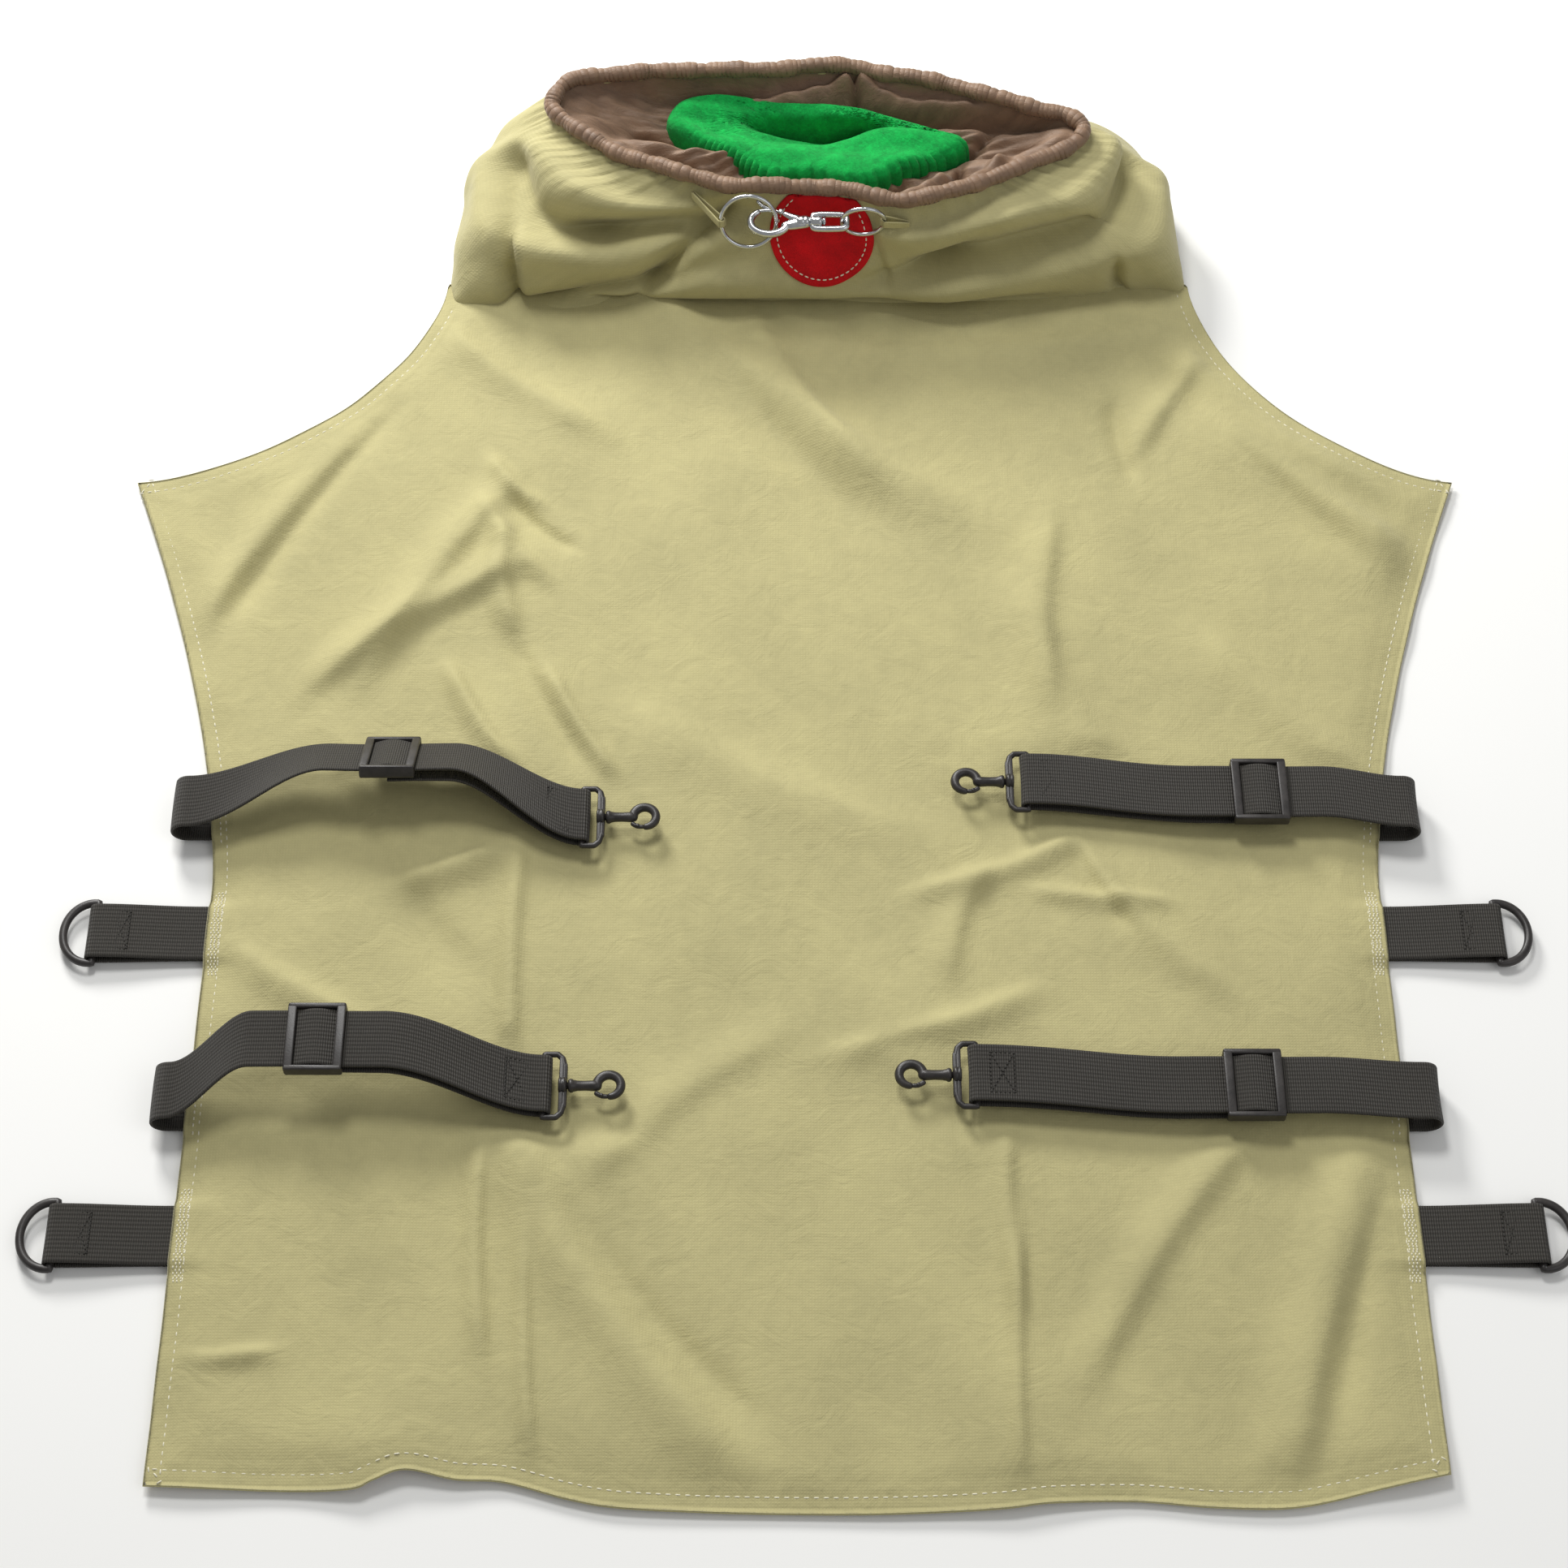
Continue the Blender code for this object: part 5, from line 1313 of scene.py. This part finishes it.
def make_hooks():
    """Swivel snap hooks: a moulded base with a bar, a turned shank with a round hook, and a sprung gate."""
    for name, strap in STRAPS.items():
        side, y = strap[0], strap[1]
        bar_x, bar_shift = strap[3]
        y = y + bar_shift
        place = Matrix.Translation((side * bar_x, y, HOOK_Z)) @ Matrix.Diagonal((-side, 1, 1, 1))
        outer = CLEAR_W / 2 + 0.0016
        # In this frame x grows from the bar towards the hook's nose.
        slot_in, base_in = 0.0075, 0.0115
        frame_line = np.array([(0, -outer), (0, outer), (slot_in - 0.001, outer), (slot_in + 0.0015, outer - 0.0024),
                               (base_in - 0.0013, outer - 0.0070), (base_in - 0.0013, -outer + 0.0070),
                               (slot_in + 0.0015, -outer + 0.0024), (slot_in - 0.001, -outer)])
        dense = np.concatenate([frame_line, frame_line[:1]])
        dense = even(dense, 150, False)
        parts = [
            tube(np.column_stack([dense, 0 * dense[:, 0]]), 0.00155, 14, True, squash=0.95),
            bar((slot_in + 0.0012, -outer + 0.001, 0), (slot_in + 0.0012, outer - 0.001, 0), 0.0024, 0.0028),
            bar((slot_in + 0.0026, -outer + 0.005, 0), (slot_in + 0.0026, outer - 0.005, 0), 0.0030, 0.0026),
            lathe((slot_in - 0.0002, 0, 0), (1, 0, 0), [(0, 0.0032), (0.0003, 0.0042), (0.0012, 0.0044),
                  (0.0018, 0.0039), (0.0024, 0.0044), (0.0034, 0.0043), (0.0040, 0.0036), (0.0043, 0.0026)], 30),
        ]
        piece(f"swivel_base_{name}", placed(joined(parts), place), "plastic",
              [f"hook_base_{name}"], f"hook_base_{name}")
        loop_x = base_in + SHANK_L + HOOK_R
        a = np.linspace(0, math.radians(262), 80)
        loop = np.stack([loop_x - HOOK_R * np.cos(a), HOOK_R * np.sin(a), 0 * a], 1)
        thick = np.interp(a, [0, 0.5, 3.6, a[-1]], [0.0026, 0.00245, 0.0023, 0.0017])
        shank = lathe((base_in - 0.0036, 0, 0), (1, 0, 0), [(0, 0.0017), (0.0042, 0.0017), (0.0044, 0.0028),
                      (0.0052, 0.0035), (0.0062, 0.0035), (0.0070, 0.0030), (0.0090, 0.0026), (0.0130, 0.0025),
                      (0.0165, 0.0027), (0.0184, 0.0028), (0.0196, 0.0022)], 24)
        hook = joined([shank, tube(loop, thick, 16)])
        piece(f"snap_hook_{name}", placed(hook, place), "plastic", [f"hook_{name}"], f"hook_{name}")
        pivot = (loop_x - HOOK_R, -STEM_R - 0.0013 - 0.0010, 0)
        tip = (loop_x - HOOK_R * math.cos(a[-1]) - 0.0018, HOOK_R * math.sin(a[-1]), 0)
        middle = (np.array(pivot) + tip) / 2 + np.array((0, -0.0006, 0))
        gate = joined([
            tube(through([pivot, middle, tip], 16), np.linspace(0.0013, 0.00115, 16), 12, squash=0.9),
            lathe((middle[0], middle[1], 0.0006), (0, 0, 1), [(0, 0.0009), (0.0008, 0.0010), (0.0011, 0.0006)], 14,
                  (1, 0, 0)),
        ])
        piece(f"snap_gate_{name}", placed(gate, place), "plastic", [f"hook_gate_{name}"],
              f"hook_gate_{name}")


# ---------------------------------------------------------------- ring tabs


def make_tabs():
    for index, (name, (side, y)) in enumerate(TABS.items()):
        edge = float(edge_x(y))
        start, bar_x = edge + 0.0030, edge + TAB_L
        spread = WEB_T / 2 + 0.00015
        share = np.linspace(-0.16, 1, 44)[:-1]

        def ply(share, sign):
            soft = smooth(share)
            offset = spread + (PLY_OFFSET - spread) * soft
            z = SEWN_Z + (TAB_Z - SEWN_Z) * soft + sign * offset
            return np.stack([side * (start + (bar_x - start) * share), np.full(share.shape, y), z], 1)

        a = np.linspace(np.pi / 2, -np.pi / 2, 18)
        turn = np.stack([side * (bar_x + PLY_OFFSET * np.cos(a)), np.full(18, y), TAB_Z + PLY_OFFSET * np.sin(a)], 1)
        line = np.concatenate([ply(share, 1), turn, ply(share[::-1], -1)])
        part = webbing(line, np.broadcast_to([0.0, 1.0, 0.0], line.shape))
        tab = piece(f"ring_webbing_{name}", part, "webbing", [f"tab_{name}", f"tab_end_{name}"])
        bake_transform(tab)
        x = bar_x - 0.014
        top = float(ply(np.array([(x - start) / (bar_x - start)]), 1)[0, 2]) + WEB_T / 2 - 0.0001
        stitch = box_stitch(np.array([side * x, y, top]), np.array([1.0, 0, 0]), np.array([0, 1.0, 0]),
                            np.array([0, 0, 1.0]), 0.008, 0.022)
        piece(f"ring_webbing_thread_{name}", stitch, "webbing", (), f"tab_{name}")
        wide = CLEAR_W / 2 + RING_WIRE_R
        a = np.linspace(0, np.pi, 70)
        bow = np.stack([RING_DEPTH * np.sin(a) ** 0.9, -wide * np.cos(a)], 1)
        path = np.concatenate([bow, np.stack([np.zeros(24), np.linspace(wide, -wide, 26)[1:-1]], 1)])
        path = even(np.concatenate([path, path[:1]]), 170, False)
        path = np.column_stack([side * (bar_x + path[:, 0]), y + path[:, 1], np.full(len(path), TAB_Z)])
        thick = RING_WIRE_R * (1 + 0.10 * smooth((np.abs(path[:, 0]) - bar_x) / 0.004))
        ring = tube(path, thick, 14, True, squash=0.92)
        piece(f"moulded_ring_{name}", ring, "plastic", [f"ring_{name}"], f"ring_{name}")


# ---------------------------------------------------------------- stage


def make_stage():
    scene = bpy.context.scene
    side = np.linspace(-3, 3, 13)
    x, y = np.meshgrid(side, side)
    grid = np.dstack([x, y + 0.4, np.full(x.shape, -0.0004)])
    mesh = bpy.data.meshes.new("studio_floor")
    mesh.from_pydata(grid.reshape(-1, 3).tolist(), [], quads(13, 13).tolist())
    floor = bpy.data.objects.new("studio_floor", mesh)
    scene.collection.objects.link(floor)
    mesh.materials.append(finish("floor"))

    world = bpy.data.worlds.new("studio")
    world.use_nodes = True
    world.node_tree.nodes["Background"].inputs["Color"].default_value = (1.0, 1.0, 1.0, 1.0)
    world.node_tree.nodes["Background"].inputs["Strength"].default_value = 0.32
    scene.world = world
    for name, where, aim, size, power, colour in (
        ("key", (-0.75, 1.60, 1.05), (0, 0, 0), 0.6, 36.0, (1.0, 0.99, 0.97)),
        ("top", (-0.30, 0.95, 1.90), (0, 0, 0), 0.6, 19.0, (1.0, 1.0, 0.99)),
        ("fill", (1.3, -0.9, 1.6), (0, 0, 0), 1.6, 6.0, (0.97, 0.98, 1.0)),
    ):
        light = bpy.data.lights.new(name, "AREA")
        light.shape = "DISK"
        light.size = size
        light.energy = power
        light.color = colour
        lamp = bpy.data.objects.new(name, light)
        lamp.location = where
        lamp.rotation_euler = (Vector(aim) - Vector(where)).to_track_quat("-Z", "Y").to_euler()
        scene.collection.objects.link(lamp)

    camera = bpy.data.cameras.new("view")
    camera.sensor_width = 36.0
    camera.lens = 69.69
    camera.clip_start = 0.01
    eye = bpy.data.objects.new("view", camera)
    eye.location = (-0.0061, -0.905, 1.379)
    eye.rotation_euler = (math.radians(32), 0, 0)
    scene.collection.objects.link(eye)
    scene.camera = eye
    scene.view_settings.view_transform = "Standard"
    scene.view_settings.look = "None"


# ---------------------------------------------------------------- operators and panel


class FlySheetOperator(bpy.types.Operator):
    """Makes pieces of the fly sheet"""

    bl_idname = "fly_sheet.base"
    bl_label = "Fly sheet piece"
    bl_options = {"REGISTER", "UNDO"}

    def make(self):
        raise NotImplementedError

    def execute(self, context):
        self.make()
        return {"FINISHED"}


class FLYSHEET_OT_cover(FlySheetOperator):
    """Make the laid canvas sheet, its lining and the thread round its hem"""

    bl_idname = "fly_sheet.cover"
    bl_label = "Canvas Sheet"

    def make(self):
        lining = make_lining()
        canvas = make_canvas()
        thread = make_hem_stitching()


class FLYSHEET_OT_neck(FlySheetOperator):
    """Make the standing neck cloth, its gathered rim, the brown lining, the fleece gaiter and the patch"""

    bl_idname = "fly_sheet.neck"
    bl_label = "Neck"

    def make(self):
        neck = make_neck_cloth()
        rim = make_rim()
        funnel = make_funnel()
        gaiter = make_gaiter()
        patch = make_patch()


class FLYSHEET_OT_clip(FlySheetOperator):
    """Make the metal snap, its wire rings and the strips that hold them"""

    bl_idname = "fly_sheet.clip"
    bl_label = "Neck Clip"

    def make(self):
        make_clip()


class FLYSHEET_OT_straps(FlySheetOperator):
    """Make the four lengths of strap webbing"""

    bl_idname = "fly_sheet.straps"
    bl_label = "Straps"

    def make(self):
        make_straps()


class FLYSHEET_OT_sliders(FlySheetOperator):
    """Make the sliders and the webbing over their middle bars"""

    bl_idname = "fly_sheet.sliders"
    bl_label = "Sliders"

    def make(self):
        make_sliders()


class FLYSHEET_OT_hooks(FlySheetOperator):
    """Make the swivel bases, snap hooks and gates"""

    bl_idname = "fly_sheet.hooks"
    bl_label = "Snap Hooks"

    def make(self):
        make_hooks()


class FLYSHEET_OT_tabs(FlySheetOperator):
    """Make the four ring tabs and their moulded rings"""

    bl_idname = "fly_sheet.tabs"
    bl_label = "Ring Tabs"

    def make(self):
        make_tabs()


class FLYSHEET_OT_stage(FlySheetOperator):
    """Make the floor, lights and camera"""

    bl_idname = "fly_sheet.stage"
    bl_label = "Stage"

    def make(self):
        make_stage()


OPERATORS = (
    FLYSHEET_OT_stage,
    FLYSHEET_OT_cover,
    FLYSHEET_OT_neck,
    FLYSHEET_OT_clip,
    FLYSHEET_OT_straps,
    FLYSHEET_OT_sliders,
    FLYSHEET_OT_hooks,
    FLYSHEET_OT_tabs,
)


class FLYSHEET_PT_panel(bpy.types.Panel):
    """Lists the sheet's pieces, sizes and colours"""

    bl_idname = "FLYSHEET_PT_panel"
    bl_label = "Fly Sheet"
    bl_space_type = "VIEW_3D"
    bl_region_type = "UI"
    bl_category = "Fly Sheet"

    def draw(self, context):
        for group in (context.scene.fly_sheet_sizes, context.scene.fly_sheet_colours):
            box = self.layout.box()
            for name in group.bl_rna.properties.keys():
                if name not in ("rna_type", "name"):
                    box.prop(group, name)
        for operator in OPERATORS:
            self.layout.operator(operator.bl_idname)


CLASSES = (FlySheetSizes, FlySheetColours, *OPERATORS, FLYSHEET_PT_panel)


def register():
    for cls in CLASSES:
        bpy.utils.register_class(cls)
    bpy.types.Scene.fly_sheet_sizes = bpy.props.PointerProperty(type=FlySheetSizes)
    bpy.types.Scene.fly_sheet_colours = bpy.props.PointerProperty(type=FlySheetColours)


def unregister():
    del bpy.types.Scene.fly_sheet_colours
    del bpy.types.Scene.fly_sheet_sizes
    for cls in reversed(CLASSES):
        bpy.utils.unregister_class(cls)


def main():
    register()
    for operator in OPERATORS:
        group, name = operator.bl_idname.split(".")
        getattr(getattr(bpy.ops, group), name)()


if __name__ == "__main__":
    main()
